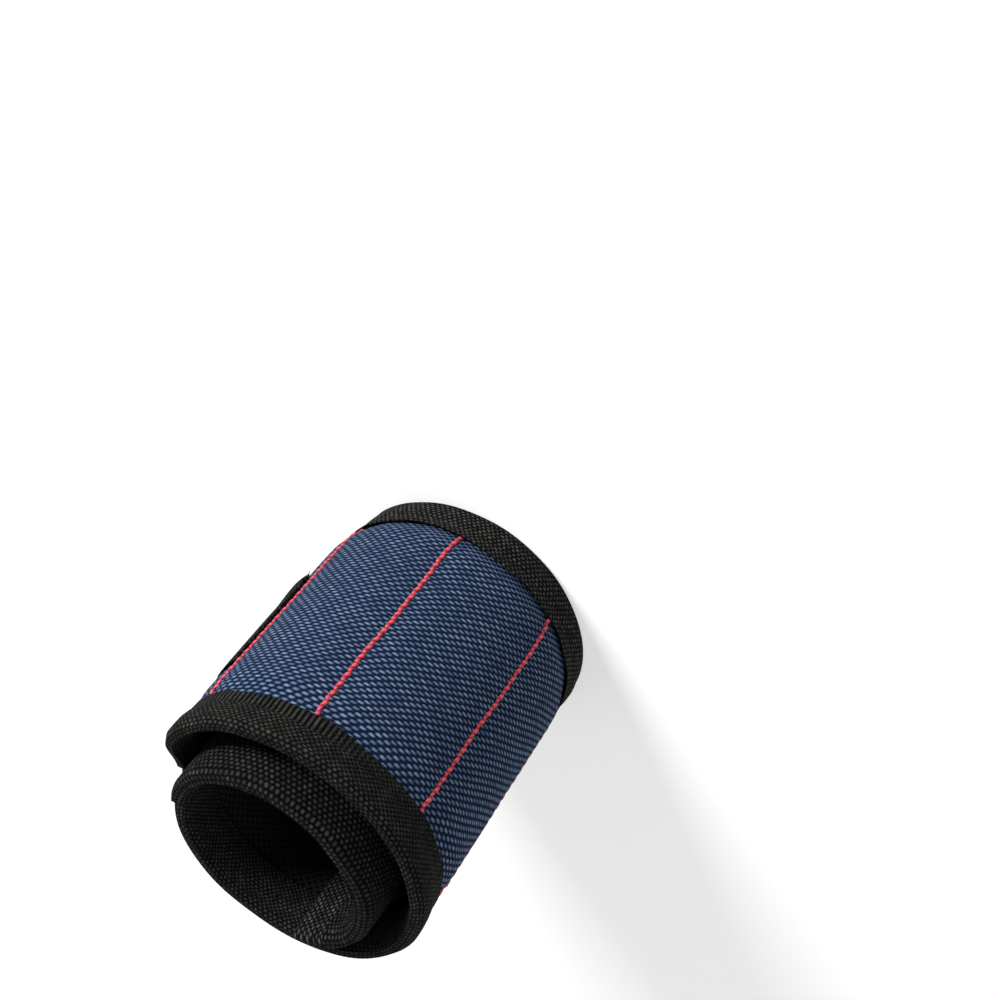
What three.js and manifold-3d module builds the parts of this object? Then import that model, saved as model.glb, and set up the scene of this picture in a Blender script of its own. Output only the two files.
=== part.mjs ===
// A magnetic wristband, closed as it is worn and stood on its lower rim.
// It is one long padded strip: five stitched magnet cells, then a plain tail of loop cloth.
// The tail turns inside the cells, and a hook strap sewn at the first row of stitching
// goes round the outer end and fastens on the loop cloth behind.
// Millimetres, +Z up along the wrist, the origin under the middle of the part.

import * as THREE from 'three';
import { mergeVertices } from 'three/addons/utils/BufferGeometryUtils.js';
import Module from 'manifold-3d';

const wasm = await Module();
wasm.setup();

// Driving dimensions of the strip
const band_width = 90;
const cell_count = 5;
const cell_pitch = 31.5;
const binding_width = 12;
const end_binding_width = 10;

// How it is wound: half sizes of the outermost turn, how deep the inner turn lies
// and how far it stands out above
const turn_half_width = 35.2;
const turn_half_depth = 33;
const turn_step = 6;
const turn_rise = 3;
const outer_end_angle = 146;
const drop_start_angle = 266;
const drop_end_angle = 350;
const tail_fold_angle = 347;
const tail_end_angle = 634;

// Cloth and padding
const seam_gap = 0.3;
const binding_wall = 0.8;
const binding_corner = 1.2;
const binding_stop = 0.4;
const cover_thickness = 0.6;
const lining_thickness = 0.5;
const cell_edge_thickness = 4.8;
const tail_edge_thickness = 4.4;
const cell_crown = 1.5;
const cell_belly = 1.3;
const tail_crown = 0.7;
const tail_belly = 0.3;
const crown_run = 5;
const row_crown_share = 0.35;
const pad_inset = 2;

// Magnets, three to a cell
const magnet_width = 12;
const magnet_thickness = 2;
const magnet_gap = 2.5;
const magnet_bevel = 0.4;
const magnet_names = ['lower', 'middle', 'upper'];

// Hook strap
const strap_width = 32;
const strap_rise = 4;
const strap_thickness = 1.4;
const strap_length = 78;
const strap_setback = 1;
const strap_step_run = 22;
const strap_corner = 4;
const hook_thickness = 1.2;
const hook_length = 34;
const hook_edge = 1.5;

// How finely the curves are cut
const step_length = 4.6;
const crown_steps = 4;
const cut_overrun = 3;
const curve_divisions = 3000;
const merge_reach = 1e-4;
const corner_cut_shares = [0.5, 0.85, 1];

const cells_length = cell_count * cell_pitch;
const middle_height = band_width / 2;
const strap_middle = middle_height + strap_rise;
const radian = Math.PI / 180;

// The magnets share the height over which a cell is at its full thickness
const magnets_height = band_width - 2 * (binding_width + crown_run);
const magnet_height = (magnets_height + magnet_gap) / magnet_names.length - magnet_gap;
const magnet_spacing = magnet_height + magnet_gap;


const materials = {
  navy: new THREE.MeshStandardMaterial({ color: 0x26395f, roughness: 0.85, metalness: 0 }),
  binding: new THREE.MeshStandardMaterial({ color: 0x1b1b1b, roughness: 0.9, metalness: 0 }),
  loop: new THREE.MeshStandardMaterial({ color: 0x161617, roughness: 1, metalness: 0 }),
  lining: new THREE.MeshStandardMaterial({ color: 0x202022, roughness: 0.95, metalness: 0 }),
  foam: new THREE.MeshStandardMaterial({ color: 0xd8d4c6, roughness: 1, metalness: 0 }),
  magnet: new THREE.MeshStandardMaterial({ color: 0xb9bcc2, roughness: 0.3, metalness: 1 }),
  webbing: new THREE.MeshStandardMaterial({ color: 0x141415, roughness: 0.95, metalness: 0 }),
};

// Rises from 0 to 1 between two places and is level at both
function ease(from, to, value) {
  return THREE.MathUtils.smoothstep(value, from, to);
}

// How far the band has sunk below the outermost turn, and climbed along the wrist,
// by the degrees that it has turned
function sink_at(turned) {
  return turn_step * ease(drop_start_angle, drop_end_angle, turned);
}

function climb_at(turned) {
  return turn_rise * ease(drop_start_angle, drop_end_angle, turned);
}

// A point of the outermost oval moved inward by a depth; the front is at 0 degrees, +X at 90
function oval_point(angle, depth, target) {
  const half_width = turn_half_width - depth;
  const half_depth = turn_half_depth - depth;
  return target.set(
    half_width * Math.sin(angle * radian),
    -half_depth * Math.cos(angle * radian),
    0,
  );
}

// The outer face of the band, from its outer end to its inner end
class WrapCurve extends THREE.Curve {
  constructor() {
    super();
    this.arcLengthDivisions = curve_divisions;
  }

  getPoint(t, target = new THREE.Vector3()) {
    const turned = t * tail_end_angle;
    return oval_point(outer_end_angle - turned, sink_at(turned), target).setZ(climb_at(turned));
  }
}

const wrap = new WrapCurve();
const wrap_length = wrap.getLength();

// The angle that the band has reached at a distance from its outer end
function turned_at(distance) {
  return wrap.getUtoTmapping(distance / wrap_length) * tail_end_angle;
}

// The distance from the outer end at which the band has turned by an angle
function distance_at(turned) {
  const lengths = wrap.getLengths();
  const place = (turned / tail_end_angle) * (lengths.length - 1);
  const below = Math.floor(place);
  return THREE.MathUtils.lerp(lengths[below], lengths[below + 1], place - below);
}

// Where the back panel ends and the inner turn begins
const fold_place = distance_at(tail_fold_angle);

// The inner face of the strap, from its sewn root backward over the outer end
class StrapCurve extends THREE.Curve {
  constructor(root_angle, span) {
    super();
    this.arcLengthDivisions = curve_divisions;
    this.root_angle = root_angle;
    this.span = span;
  }

  getPoint(t, target = new THREE.Vector3()) {
    const angle = this.root_angle + t * this.span;
    const over_cell = cell_rise + seam_gap;
    const tail_sink = sink_at(outer_end_angle + 360 - angle) + tail_top_depth;
    const over_tail = tail_sink - seam_gap - hook_thickness - seam_gap;
    const run = strap_step_run / turn_half_width / radian;
    const drop = ease(outer_end_angle, outer_end_angle + run, angle);
    return oval_point(angle, THREE.MathUtils.lerp(-over_cell, over_tail, drop), target);
  }
}

// A frame on a curve at a distance: the point and the outward direction
function station(curve, length, distance, outward_sign) {
  const share = THREE.MathUtils.clamp(distance / length, 0, 1);
  const point = curve.getPointAt(share);
  const tangent = curve.getTangentAt(share);
  const outward = new THREE.Vector3(tangent.y, -tangent.x, 0).setLength(outward_sign);
  return { point, outward };
}

function wrap_station(distance) {
  return station(wrap, wrap_length, distance, -1);
}

// Distances along the band from one place to another in even steps
function even_places(from, to, longest_step = step_length) {
  const steps = Math.max(2, Math.ceil((to - from) / longest_step));
  return Array.from({ length: steps + 1 }, (_, i) => THREE.MathUtils.lerp(from, to, i / steps));
}

// Turns a closed triangle list right side out
function outward_indices(positions, indices) {
  let volume = 0;
  const corner = (k) => new THREE.Vector3().fromArray(positions, indices[k] * 3);
  for (let k = 0; k < indices.length; k += 3) {
    volume += corner(k).dot(corner(k + 1).cross(corner(k + 2)));
  }
  return volume < 0 ? indices.slice().reverse() : indices;
}

// A closed solid swept along a line of stations; outline_at gives its section there
// as closed [depth, height] points, depth inward from the line and height from the lower rim
function sweep(places, station_at, outline_at) {
  const positions = [];
  let ring = 0;
  for (const place of places) {
    const { point, outward } = station_at(place);
    const outline = outline_at(place);
    ring = outline.length;
    for (const [depth, height] of outline) {
      positions.push(point.x - outward.x * depth, point.y - outward.y * depth, point.z + height);
    }
  }
  const indices = [];
  for (let row = 0; row + 1 < places.length; row += 1) {
    for (let k = 0; k < ring; k += 1) {
      const next = (k + 1) % ring;
      const a = row * ring + k;
      const b = row * ring + next;
      indices.push(a, a + ring, b, b, a + ring, b + ring);
    }
  }
  for (const end of [0, places.length - 1]) {
    const contour = outline_at(places[end]).map(([depth, height]) => new THREE.Vector2(depth, height));
    const flip = end === 0 ? 1 : -1;
    const winding = THREE.ShapeUtils.isClockWise(contour) ? -flip : flip;
    for (const [a, b, c] of THREE.ShapeUtils.triangulateShape(contour, [])) {
      const corners = winding > 0 ? [a, b, c] : [a, c, b];
      indices.push(...corners.map((k) => end * ring + k));
    }
  }
  const geometry = new THREE.BufferGeometry();
  geometry.setAttribute('position', new THREE.Float32BufferAttribute(positions, 3));
  geometry.setIndex(outward_indices(positions, indices));
  return geometry;
}

function to_manifold(geometry) {
  const plain = geometry.clone();
  plain.deleteAttribute('normal');
  plain.deleteAttribute('uv');
  const merged = mergeVertices(plain, merge_reach);
  return new wasm.Manifold(new wasm.Mesh({
    numProp: 3,
    vertProperties: new Float32Array(merged.attributes.position.array),
    triVerts: new Uint32Array(merged.index.array),
  }));
}

function from_manifold(solid) {
  const mesh = solid.getMesh();
  const geometry = new THREE.BufferGeometry();
  geometry.setAttribute('position', new THREE.BufferAttribute(new Float32Array(mesh.vertProperties), 3));
  geometry.setIndex(new THREE.BufferAttribute(new Uint32Array(mesh.triVerts), 1));
  return geometry;
}

// What differs between the thick magnet cells and the thin tail
const cell_build = { thickness: cell_edge_thickness, crown: cell_crown, belly: cell_belly };
const tail_build = { thickness: tail_edge_thickness, crown: tail_crown, belly: tail_belly };
const seat_depth = binding_wall + seam_gap;
const cell_rise = cell_crown - seat_depth;
const tail_top_depth = seat_depth - tail_crown;

// 0 under the bindings of both rims, 1 over the middle of the band
function rim_share(height) {
  const from_rim = Math.min(height, band_width - height);
  return ease(binding_width + seam_gap, binding_width + seam_gap + crown_run, from_rim);
}

// 0 under an end binding, a little at each row of stitching, 1 over the middle of a panel
function along_share(panel, place) {
  const before = place - panel.from;
  const after = panel.to - place;
  const start = panel.bound_start
    ? ease(end_binding_width + seam_gap, end_binding_width + crown_run, before)
    : THREE.MathUtils.lerp(row_crown_share, 1, ease(0, crown_run, before));
  const finish = panel.bound_end
    ? ease(end_binding_width + seam_gap, end_binding_width + crown_run, after)
    : THREE.MathUtils.lerp(row_crown_share, 1, ease(0, crown_run, after));
  return Math.min(start, finish);
}

// Depth of the cover's outer face and of the lining's inner face at a place on a panel
function cover_depth(panel, place, height) {
  return seat_depth - panel.build.crown * rim_share(height) * along_share(panel, place);
}

function lining_depth(panel, place, height) {
  const seat = panel.build.thickness - seat_depth;
  return seat + panel.build.belly * rim_share(height) * along_share(panel, place);
}

// Heights at which the crown of a panel is cut, from a foot to the same height below the top
function crown_heights(foot) {
  const rise_end = binding_width + seam_gap + crown_run;
  const rise_start = binding_width + seam_gap;
  const rising = Array.from({ length: crown_steps }, (_, i) => (
    THREE.MathUtils.lerp(rise_start, rise_end, i / (crown_steps - 1))
  ));
  const lower = [foot, ...rising].filter((height, i) => i === 0 || height > foot);
  return [...lower, middle_height, ...lower.map((height) => band_width - height).reverse()];
}

// A closed section between an outer and an inner depth at the given heights
function band_outline(heights, outer_depth, inner_depth) {
  const outer = heights.map((height) => [outer_depth(height), height]);
  const inner = heights.map((height) => [inner_depth(height), height]).reverse();
  return outer.concat(inner);
}

// Cloth starts just inside the rim binding, and at a bound end just inside that binding
function cloth_places(panel) {
  const start = panel.from + (panel.bound_start ? seat_depth : seam_gap / 2);
  const finish = panel.to - (panel.bound_end ? seat_depth : seam_gap / 2);
  return even_places(start, finish);
}

function cover_geometry(panel) {
  const heights = crown_heights(binding_wall + binding_stop);
  return sweep(cloth_places(panel), wrap_station, (place) => band_outline(
    heights,
    (height) => cover_depth(panel, place, height),
    (height) => cover_depth(panel, place, height) + cover_thickness,
  ));
}

function lining_geometry(panel) {
  const heights = crown_heights(binding_wall + binding_stop);
  return sweep(cloth_places(panel), wrap_station, (place) => band_outline(
    heights,
    (height) => lining_depth(panel, place, height) - lining_thickness,
    (height) => lining_depth(panel, place, height),
  ));
}

// The middle of the space that a cell's magnets share, clear of an end binding
function magnet_place(panel) {
  const start = panel.from + (panel.bound_start ? end_binding_width : 0);
  return (start + panel.to) / 2;
}

// Flat plates inside a curved cell: they lie deeper by the bulge of the curve over their width
function magnet_depth(panel) {
  const radius = Math.min(turn_half_width, turn_half_depth);
  const half = magnet_width / 2;
  const bulge = radius - Math.sqrt(radius * radius - half * half);
  const under_cover = cover_depth(panel, magnet_place(panel), middle_height) + cover_thickness;
  return under_cover + seam_gap + bulge + magnet_thickness / 2;
}

function magnet_height_at(index) {
  return middle_height + (index - (magnet_names.length - 1) / 2) * magnet_spacing;
}

// A plate with bevelled rim, its thickness along the outward direction of the band
function plate_geometry(width, height, thickness, bevel) {
  const shape = new THREE.Shape();
  const half_width = width / 2 - bevel;
  const half_height = height / 2 - bevel;
  shape.moveTo(-half_width, -half_height);
  shape.lineTo(half_width, -half_height);
  shape.lineTo(half_width, half_height);
  shape.lineTo(-half_width, half_height);
  shape.closePath();
  const geometry = new THREE.ExtrudeGeometry(shape, {
    depth: thickness - 2 * bevel,
    bevelEnabled: bevel > 0,
    bevelThickness: bevel,
    bevelSize: bevel,
    bevelSegments: 1,
  });
  geometry.translate(0, 0, bevel - thickness / 2);
  geometry.rotateX(Math.PI / 2);
  return geometry;
}

// Stands a plate in the band, its face square to the outward direction there
function seat_in_band(object, place, depth, height) {
  const { point, outward } = wrap_station(place);
  object.position.set(point.x - outward.x * depth, point.y - outward.y * depth, point.z + height);
  object.rotation.z = Math.atan2(outward.y, outward.x) - Math.PI / 2;
}

// The pad fills the room between cover and lining, with a pocket cut for each magnet
function pad_geometry(panel, has_magnets) {
  const start = panel.from + (panel.bound_start ? end_binding_width : 0) + pad_inset;
  const finish = panel.to - (panel.bound_end ? end_binding_width : 0) - pad_inset;
  const heights = crown_heights(binding_width + pad_inset);
  const body = sweep(even_places(start, finish), wrap_station, (place) => band_outline(
    heights,
    (height) => cover_depth(panel, place, height) + cover_thickness + seam_gap,
    (height) => lining_depth(panel, place, height) - lining_thickness - seam_gap,
  ));
  if (!has_magnets) {
    return body;
  }
  let solid = to_manifold(body);
  const holder = new THREE.Object3D();
  const pocket_depth = magnet_thickness + seam_gap + cut_overrun;
  magnet_names.forEach((name, index) => {
    const pocket = plate_geometry(
      magnet_width + 2 * seam_gap,
      magnet_height + 2 * seam_gap,
      pocket_depth,
      0,
    );
    const depth = magnet_depth(panel) + (seam_gap - cut_overrun) / 2;
    seat_in_band(holder, magnet_place(panel), depth, magnet_height_at(index));
    holder.updateMatrix();
    pocket.applyMatrix4(holder.matrix);
    solid = solid.subtract(to_manifold(pocket));
  });
  return from_manifold(solid);
}

// The folded tape on a rim: two walls and a rounded fold, standing on a flat
function binding_outline(thickness, lower) {
  const turn = (height) => (lower ? height : band_width - height);
  const wall = binding_wall;
  const inner_face = thickness - wall;
  const corner = binding_corner;
  const soft = corner * (1 - Math.SQRT1_2);
  return [
    [0, turn(binding_width)],
    [0, turn(corner)],
    [soft, turn(soft)],
    [corner, turn(0)],
    [thickness - corner, turn(0)],
    [thickness - soft, turn(soft)],
    [thickness, turn(corner)],
    [thickness, turn(binding_width)],
    [inner_face, turn(binding_width)],
    [inner_face, turn(wall)],
    [wall, turn(wall)],
    [wall, turn(binding_width)],
  ];
}

function rim_binding_geometry(panel, lower) {
  const start = panel.from + (panel.bound_start ? end_binding_width + seam_gap : seam_gap / 2);
  const finish = panel.to - (panel.bound_end ? end_binding_width + seam_gap : seam_gap / 2);
  const outline = binding_outline(panel.build.thickness, lower);
  return sweep(even_places(start, finish), wrap_station, () => outline);
}

// The tape over a bound end, the full height of the band and open toward the panel
function end_binding_geometry(panel, at_start) {
  const thickness = panel.build.thickness;
  const from = at_start ? panel.from : panel.to - end_binding_width;
  const to = from + end_binding_width;
  const block = (first, last, near, far, low, high) => to_manifold(sweep(
    even_places(first, last),
    wrap_station,
    () => [[near, low], [near, high], [far, high], [far, low]],
  ));
  const outside = block(from, to, 0, thickness, 0, band_width);
  const first = at_start ? from + binding_wall : from - cut_overrun;
  const last = at_start ? to + cut_overrun : to - binding_wall;
  const inside = block(
    Math.max(first, 0),
    last,
    binding_wall,
    thickness - binding_wall,
    binding_wall,
    band_width - binding_wall,
  );
  return from_manifold(outside.subtract(inside));
}

const first_row_turn = turned_at(cell_pitch - strap_setback);
const strap_curve = new StrapCurve(
  outer_end_angle - first_row_turn,
  (strap_length + cut_overrun) / (turn_half_width - turn_step) / radian,
);
const strap_curve_length = strap_curve.getLength();

function strap_station(distance) {
  return station(strap_curve, strap_curve_length, distance, 1);
}

// Half the strap's width at a distance from its root: the free end has rounded corners
function strap_half_width(distance, half_width) {
  const into_corner = Math.max(0, distance - (strap_length - strap_corner));
  const drawn_in = strap_corner - Math.sqrt(Math.max(0, strap_corner ** 2 - into_corner ** 2));
  return half_width - drawn_in;
}

function strap_geometry(from, to, near, far, half_width) {
  const straight = even_places(from, to - strap_corner);
  const corner = corner_cut_shares.map((share) => to - strap_corner + share * strap_corner);
  return sweep(straight.concat(corner), strap_station, (distance) => {
    const half = strap_half_width(distance + strap_length - to, half_width);
    const low = strap_middle - half;
    const high = strap_middle + half;
    return [[near, low], [near, high], [far, high], [far, low]];
  });
}

const cuff = new THREE.Group();

function add(parent, name, geometry, material) {
  const mesh = new THREE.Mesh(geometry, material);
  mesh.name = name;
  parent.add(mesh);
  return mesh;
}

// Cover, pad, lining and both rim bindings of one panel of the strip
function add_panel(parent, panel, cover_material, has_magnets) {
  add(parent, `${panel.name}_cover`, cover_geometry(panel), cover_material);
  add(parent, `${panel.name}_pad`, pad_geometry(panel, has_magnets), materials.foam);
  add(parent, `${panel.name}_lining`, lining_geometry(panel), materials.lining);
  add(parent, `${panel.name}_lower_binding`, rim_binding_geometry(panel, true), materials.binding);
  add(parent, `${panel.name}_upper_binding`, rim_binding_geometry(panel, false), materials.binding);
}

function add_magnets(parent, panel) {
  magnet_names.forEach((name, index) => {
    const plate = plate_geometry(magnet_width, magnet_height, magnet_thickness, magnet_bevel);
    const magnet = add(parent, `${panel.name}_${name}_magnet`, plate, materials.magnet);
    seat_in_band(magnet, magnet_place(panel), magnet_depth(panel), magnet_height_at(index));
  });
}

const cells = Array.from({ length: cell_count }, (_, i) => ({
  name: `cell_${i + 1}`,
  from: i * cell_pitch,
  to: (i + 1) * cell_pitch,
  bound_start: i === 0,
  bound_end: false,
  build: cell_build,
}));
const back = {
  name: 'back',
  from: cells_length,
  to: fold_place,
  bound_start: false,
  bound_end: false,
  build: tail_build,
};
const inner = {
  name: 'inner',
  from: fold_place,
  to: wrap_length,
  bound_start: false,
  bound_end: true,
  build: tail_build,
};

for (const cell of cells) {
  const group = new THREE.Group();
  add_panel(group, cell, materials.navy, true);
  add_magnets(group, cell);
  cuff.add(group);
}
add(cuff, 'outer_end_binding', end_binding_geometry(cells[0], true), materials.binding);

for (const panel of [back, inner]) {
  const group = new THREE.Group();
  add_panel(group, panel, materials.loop, false);
  cuff.add(group);
}
add(cuff, 'inner_end_binding', end_binding_geometry(inner, false), materials.binding);

add(
  cuff,
  'strap_webbing',
  strap_geometry(0, strap_length, -strap_thickness, 0, strap_width / 2),
  materials.webbing,
);
add(
  cuff,
  'hook_tape',
  strap_geometry(
    strap_length - hook_length,
    strap_length - hook_edge,
    seam_gap,
    seam_gap + hook_thickness,
    strap_width / 2 - hook_edge,
  ),
  materials.webbing,
);

// The origin lies under the middle of the whole part, the strap included
const overall = new THREE.Box3().setFromObject(cuff);
const middle = overall.getCenter(new THREE.Vector3());
cuff.position.set(-middle.x, -middle.y, 0);

// Where the band folds: an upright line at each row of stitching, on the outer face
function fold_line({ point }) {
  return point.clone().add(cuff.position).toArray();
}

const fold_places = [...cells.map((cell) => cell.to), fold_place];
cuff.userData.fold_lines = fold_places.map((place) => fold_line(wrap_station(place)));
cuff.userData.strap_line = fold_line(strap_station(0));

export default cuff;
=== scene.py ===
"""A magnetic wristband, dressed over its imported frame.

The band is one padded strip, wound nearly twice round. Almost every piece is a surface over
two measures of that strip, the distance along it from its outer end and the height across it,
laid on the same wound line that carries the frame. Lengths are in millimetres up to the
moment when a mesh is made, which is in metres.
"""

import math

import bpy
import numpy as np
from mathutils import Matrix, Vector


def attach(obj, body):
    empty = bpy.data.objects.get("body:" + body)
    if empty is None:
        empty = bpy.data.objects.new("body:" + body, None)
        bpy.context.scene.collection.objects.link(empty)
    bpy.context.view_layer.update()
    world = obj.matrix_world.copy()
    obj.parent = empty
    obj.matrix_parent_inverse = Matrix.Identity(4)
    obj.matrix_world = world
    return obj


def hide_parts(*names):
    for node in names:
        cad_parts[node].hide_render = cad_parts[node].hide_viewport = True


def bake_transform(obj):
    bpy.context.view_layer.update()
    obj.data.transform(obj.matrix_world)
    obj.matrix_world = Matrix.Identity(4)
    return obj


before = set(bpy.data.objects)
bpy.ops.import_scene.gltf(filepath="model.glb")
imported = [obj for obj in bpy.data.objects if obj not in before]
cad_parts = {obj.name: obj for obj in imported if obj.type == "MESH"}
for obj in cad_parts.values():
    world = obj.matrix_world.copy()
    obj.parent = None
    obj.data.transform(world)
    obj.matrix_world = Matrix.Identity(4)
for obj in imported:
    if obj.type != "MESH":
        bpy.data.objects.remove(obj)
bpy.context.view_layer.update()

METRE = 0.001

# The wound line, as the frame has it
HALF_WIDTH, HALF_DEPTH = 35.2, 33.0
TURN_STEP, TURN_RISE = 6.0, 3.0
OUTER_END_ANGLE, TAIL_END_ANGLE, TAIL_FOLD_ANGLE = 146.0, 634.0, 347.0
DROP_START, DROP_END = 266.0, 350.0
WRAP_CENTRE = np.array([-0.8051, 0.9585, 0.0])

# The strip
BAND_WIDTH = 90.0
MIDDLE = BAND_WIDTH / 2
CELL_PITCH, CELL_COUNT = 31.5, 5
TAPE_WIDTH, END_TAPE_WIDTH = 12.0, 10.0
SEAM_GAP, SEAT_DEPTH = 0.3, 1.1
CELL_THICKNESS, TAIL_THICKNESS = 4.8, 4.4
CELL_CROWN, TAIL_CROWN = 1.5, 0.7
CELL_BELLY, TAIL_BELLY = 1.3, 0.3
CROWN_RUN, CROWN_INSET, RIM_RUN = 5.0, 1.0, 6.5
ROW_START, ROW_RUN = -0.6, 7.0
COVER_THICKNESS, LINING_THICKNESS = 0.6, 0.5
CLOTH_FOOT = 6.0
MAGNET_SIZE, MAGNET_HEIGHT, MAGNET_PITCH, MAGNET_THICKNESS = 12.0, 17.0, 19.5, 2.0
PAD_GAP, POCKET_EDGE, MAGNET_COVERING, LEAST_FOAM = 2.0, 0.02, 0.55, 0.4

# The rim tapes: flat widths, feet of the walls, heights of the fold, insets of its two sides,
# how the edges are sewn down, skins, grooves, threads and ribs
TAPE_SPREAD, WIDE_TAPE_SPREAD = 22.3, 25.5
UPPER_FOOT, RIM_FOOT = 3.3, 2.0
UPPER_FOLD, LOWER_FOLD, INNER_FOLD = 1.9, 0.55, 0.24
INNER_NEAR, INNER_FAR, OUTER_FAR = 0.5, 0.6, 2.2
TAPE_SEAT, HELD_INSET, HELD_RUN, INNER_HELD_RUN = 0.42, 2.0, 5.5, 4.5
TAPE_SKIN, FOLD_SKIN, FOLD_POWER = 0.45, 0.7, 0.8
GROOVE_INSET, GROOVE_SPREAD, GROOVE_DEPTH, INNER_GROOVE_DEPTH = 3.2, 0.9, 0.2, 0.12
OUTER_POINTS, FOLD_POINTS, INNER_POINTS, BACK_POINTS = 44, 24, 30, 14
TAPE_RELIEF, COARSE_RELIEF = 0.13, 0.18
RIB_PITCH, RIB_REACH, RIB_SPREAD, RIB_START, RIB_END = 1.28, 2.9, 1.8, 62.0, 84.0

# The tapes over the strip's ends
END_CORNER, END_FOLD, END_SKIN, OUTER_END_DROP, END_GAP = 2.4, 2.0, 0.6, 1.3, 0.1
END_HELD_START, END_HELD_FULL = 5.0, 1.0
END_CORNER_POINTS, END_WALL_POINTS, END_FOLD_POINTS = 9, 14, 22

# The strap: its size and line, how it rests on the first cell, how it thins towards its root,
# the wandering of its cut, its points, its hook tape and its frayed threads
STRAP_WIDTH, STRAP_MIDDLE, STRAP_LENGTH = 32.0, 49.0, 78.0
STRAP_LOW = STRAP_MIDDLE - STRAP_WIDTH / 2
STRAP_THICKNESS, STRAP_SETBACK, STRAP_STEP_RUN, STRAP_CORNER = 1.4, 1.0, 22.0, 4.0
STRAP_START, STRAP_END, LINE_SPARE = 0.5, STRAP_LENGTH + STRAP_SETBACK, 3.0
STRAP_LIFT, LIFT_REACH, LIFT_RUN = 0.6, 11.0, 3.0
REST_START, REST_FULL, REST_GAP = 3.0, 14.0, 0.1
ROOT_THINNESS, ROOT_THIN_START, ROOT_THIN_END = 0.72, 4.0, 22.0
SIDE_THINNESS, SIDE_THIN_START, SIDE_THIN_END, SIDE_INSET = 0.75, 8.0, 20.0, 1.0
CUT_WANDER, CUT_SETBACK, CUT_RUN, CUT_CORNER, CUT_CORNER_REACH = 0.35, 0.2, 3.0, 0.5, 2.5
EDGE_WANDER, EDGE_SHARPNESS, ROUND_SHARPNESS = 0.12, 12, 24
STRAP_STEP, STRAP_CORNER_POINTS, STRAP_POINTS = 0.5, 14, 72
HOOK_LENGTH, HOOK_THICKNESS, HOOK_EDGE, HOOK_NEAR, HOOK_FAR = 34.0, 1.2, 1.5, 0.05, 0.7
FRAY_COUNT, FRAY_START, FRAY_FARTHEST, FRAY_LEVEL, FRAY_CROWDING = 46, 1.7, 0.3, 0.75, 1.4
FRAY_SHORTEST, FRAY_LONGEST, FRAY_RISE, FRAY_LEAN = 0.7, 1.9, 0.55, 0.7
FRAY_CORNER, FRAY_CORNER_REACH = 1.5, 5.0

# Stitches
STITCH_PITCH, STITCH_LAP, STITCH_SINK, STITCH_LEAN, ROW_UNDER_TAPE = 3.1, 0.45, 0.45, -0.6, 1.0
ROW_RADIUS, LINING_RADIUS, SEAM_RADIUS, HOOK_RADIUS, FRAY_RADIUS = 0.54, 0.3, 0.26, 0.24, 0.13
SEAM_PITCH, SEAM_INSET, SEAM_DEPTH, SEAM_STITCH_GAP, SEAM_SINK = 2.7, 3.3, 0.5, 0.15, 0.3
STITCH_RISE, STITCH_FLATNESS, STITCH_END = 0.2, 0.8, 0.06
HOOK_STITCH_INSET, HOOK_STITCH_START, HOOK_STITCH_GAP, HOOK_STITCH_RISE = 3.0, 1.5, 0.05, 0.06
THREAD_TURNS = 1.7

# Where the layers are cut, and how far a fold bends to each side of its line
FIRST_CUT, FOLD_CLEARANCE = 23.0, 16.0
ROW_BEND, TAIL_BEND = 2.5, 7.0

# Where the soft strip leaves the straight walls of the frame
HEM_LEAN, HEM_REACH, HEM_SIDE = 3.3, 17.0, 60.0
INNER_LEAN, INNER_SIDE, INNER_FOOT, TURN_CHANGE = 5.0, 10.0, 54.0, 25.0
CORNER_LEAN, CORNER_SAG, CORNER_START, CORNER_FULL = 2.8, 4.6, 27.0, 9.0
CORNER_LOW, CORNER_HIGH = 72.5, 88.0
CELL_PRESS, PRESS_RUN, VALLEY = 0.35, 8.0, 0.45
STRAP_BED, BED_OUTSIDE, BED_INSIDE, BED_ROOT = 0.3, 3.0, 0.5, 4.0
PUCKER_HEIGHT, PUCKER_REACH = 0.13, 2.6
COVER_SLACK, LINING_SLACK = 0.10, 0.08

# Numbers of steps of the two lines, and steps of the grids along and across the strip
LINE_STEPS, STRAP_STEPS = 24001, 8001
TAPE_STEP, CLOTH_STEP, CLOTH_RISE, FOAM_STEP, END_STEP = 0.3, 0.6, 0.62, 1.0, 0.8

# Finishes: pitches along and across a cloth, and the roughness and specular level of matt cloth
NAVY_PITCH, STRAP_PITCH, HOOK_PITCH, HOLE_PITCH = (2.38, 0.97), (1.1, 0.7), (0.8, 0.7), (2.4, 2.0)
TAPE_PITCH, LOWER_TAPE_PITCH, INNER_TAPE_PITCH = (1.45, 0.62), (1.5, 1.0), (1.65, 1.05)
MATT_CLOTH = (0.8, 0.02)
COAT_ROUGHNESS = 0.4
CLOTH_MAP = "cloth"

# Floor, sky and camera: the floor's reach and the nearest and farthest sight are in metres,
# the camera's angles in degrees
WHITE, FLOOR_GREY = (1.0, 1.0, 1.0, 1.0), (0.62, 0.62, 0.62, 1.0)
FLOOR_REACH, SKY_LIGHT = 9.0, 0.21
CAMERA_TURN, CAMERA_DOWN, CAMERA_ROLL = 18.85, 44.75, 141.31
CAMERA_AIM_X, CAMERA_AIM_Z, CAMERA_DISTANCE = 10.76, -32.95, 411.24
CAMERA_SENSOR, CAMERA_LENS = 36.0, 54.0
NEAREST, FARTHEST = 0.01, 60.0


# Measures along the strip

def ease(start, end, value):
    """Rises from 0 at start to 1 at end: three times the square less twice the cube."""
    share = np.clip((np.asarray(value, float) - start) / (end - start), 0, 1)
    return share * share * (3 - 2 * share)


def mix(low, high, share):
    """From low at share 0 to high at share 1."""
    return low + (high - low) * share


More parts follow.
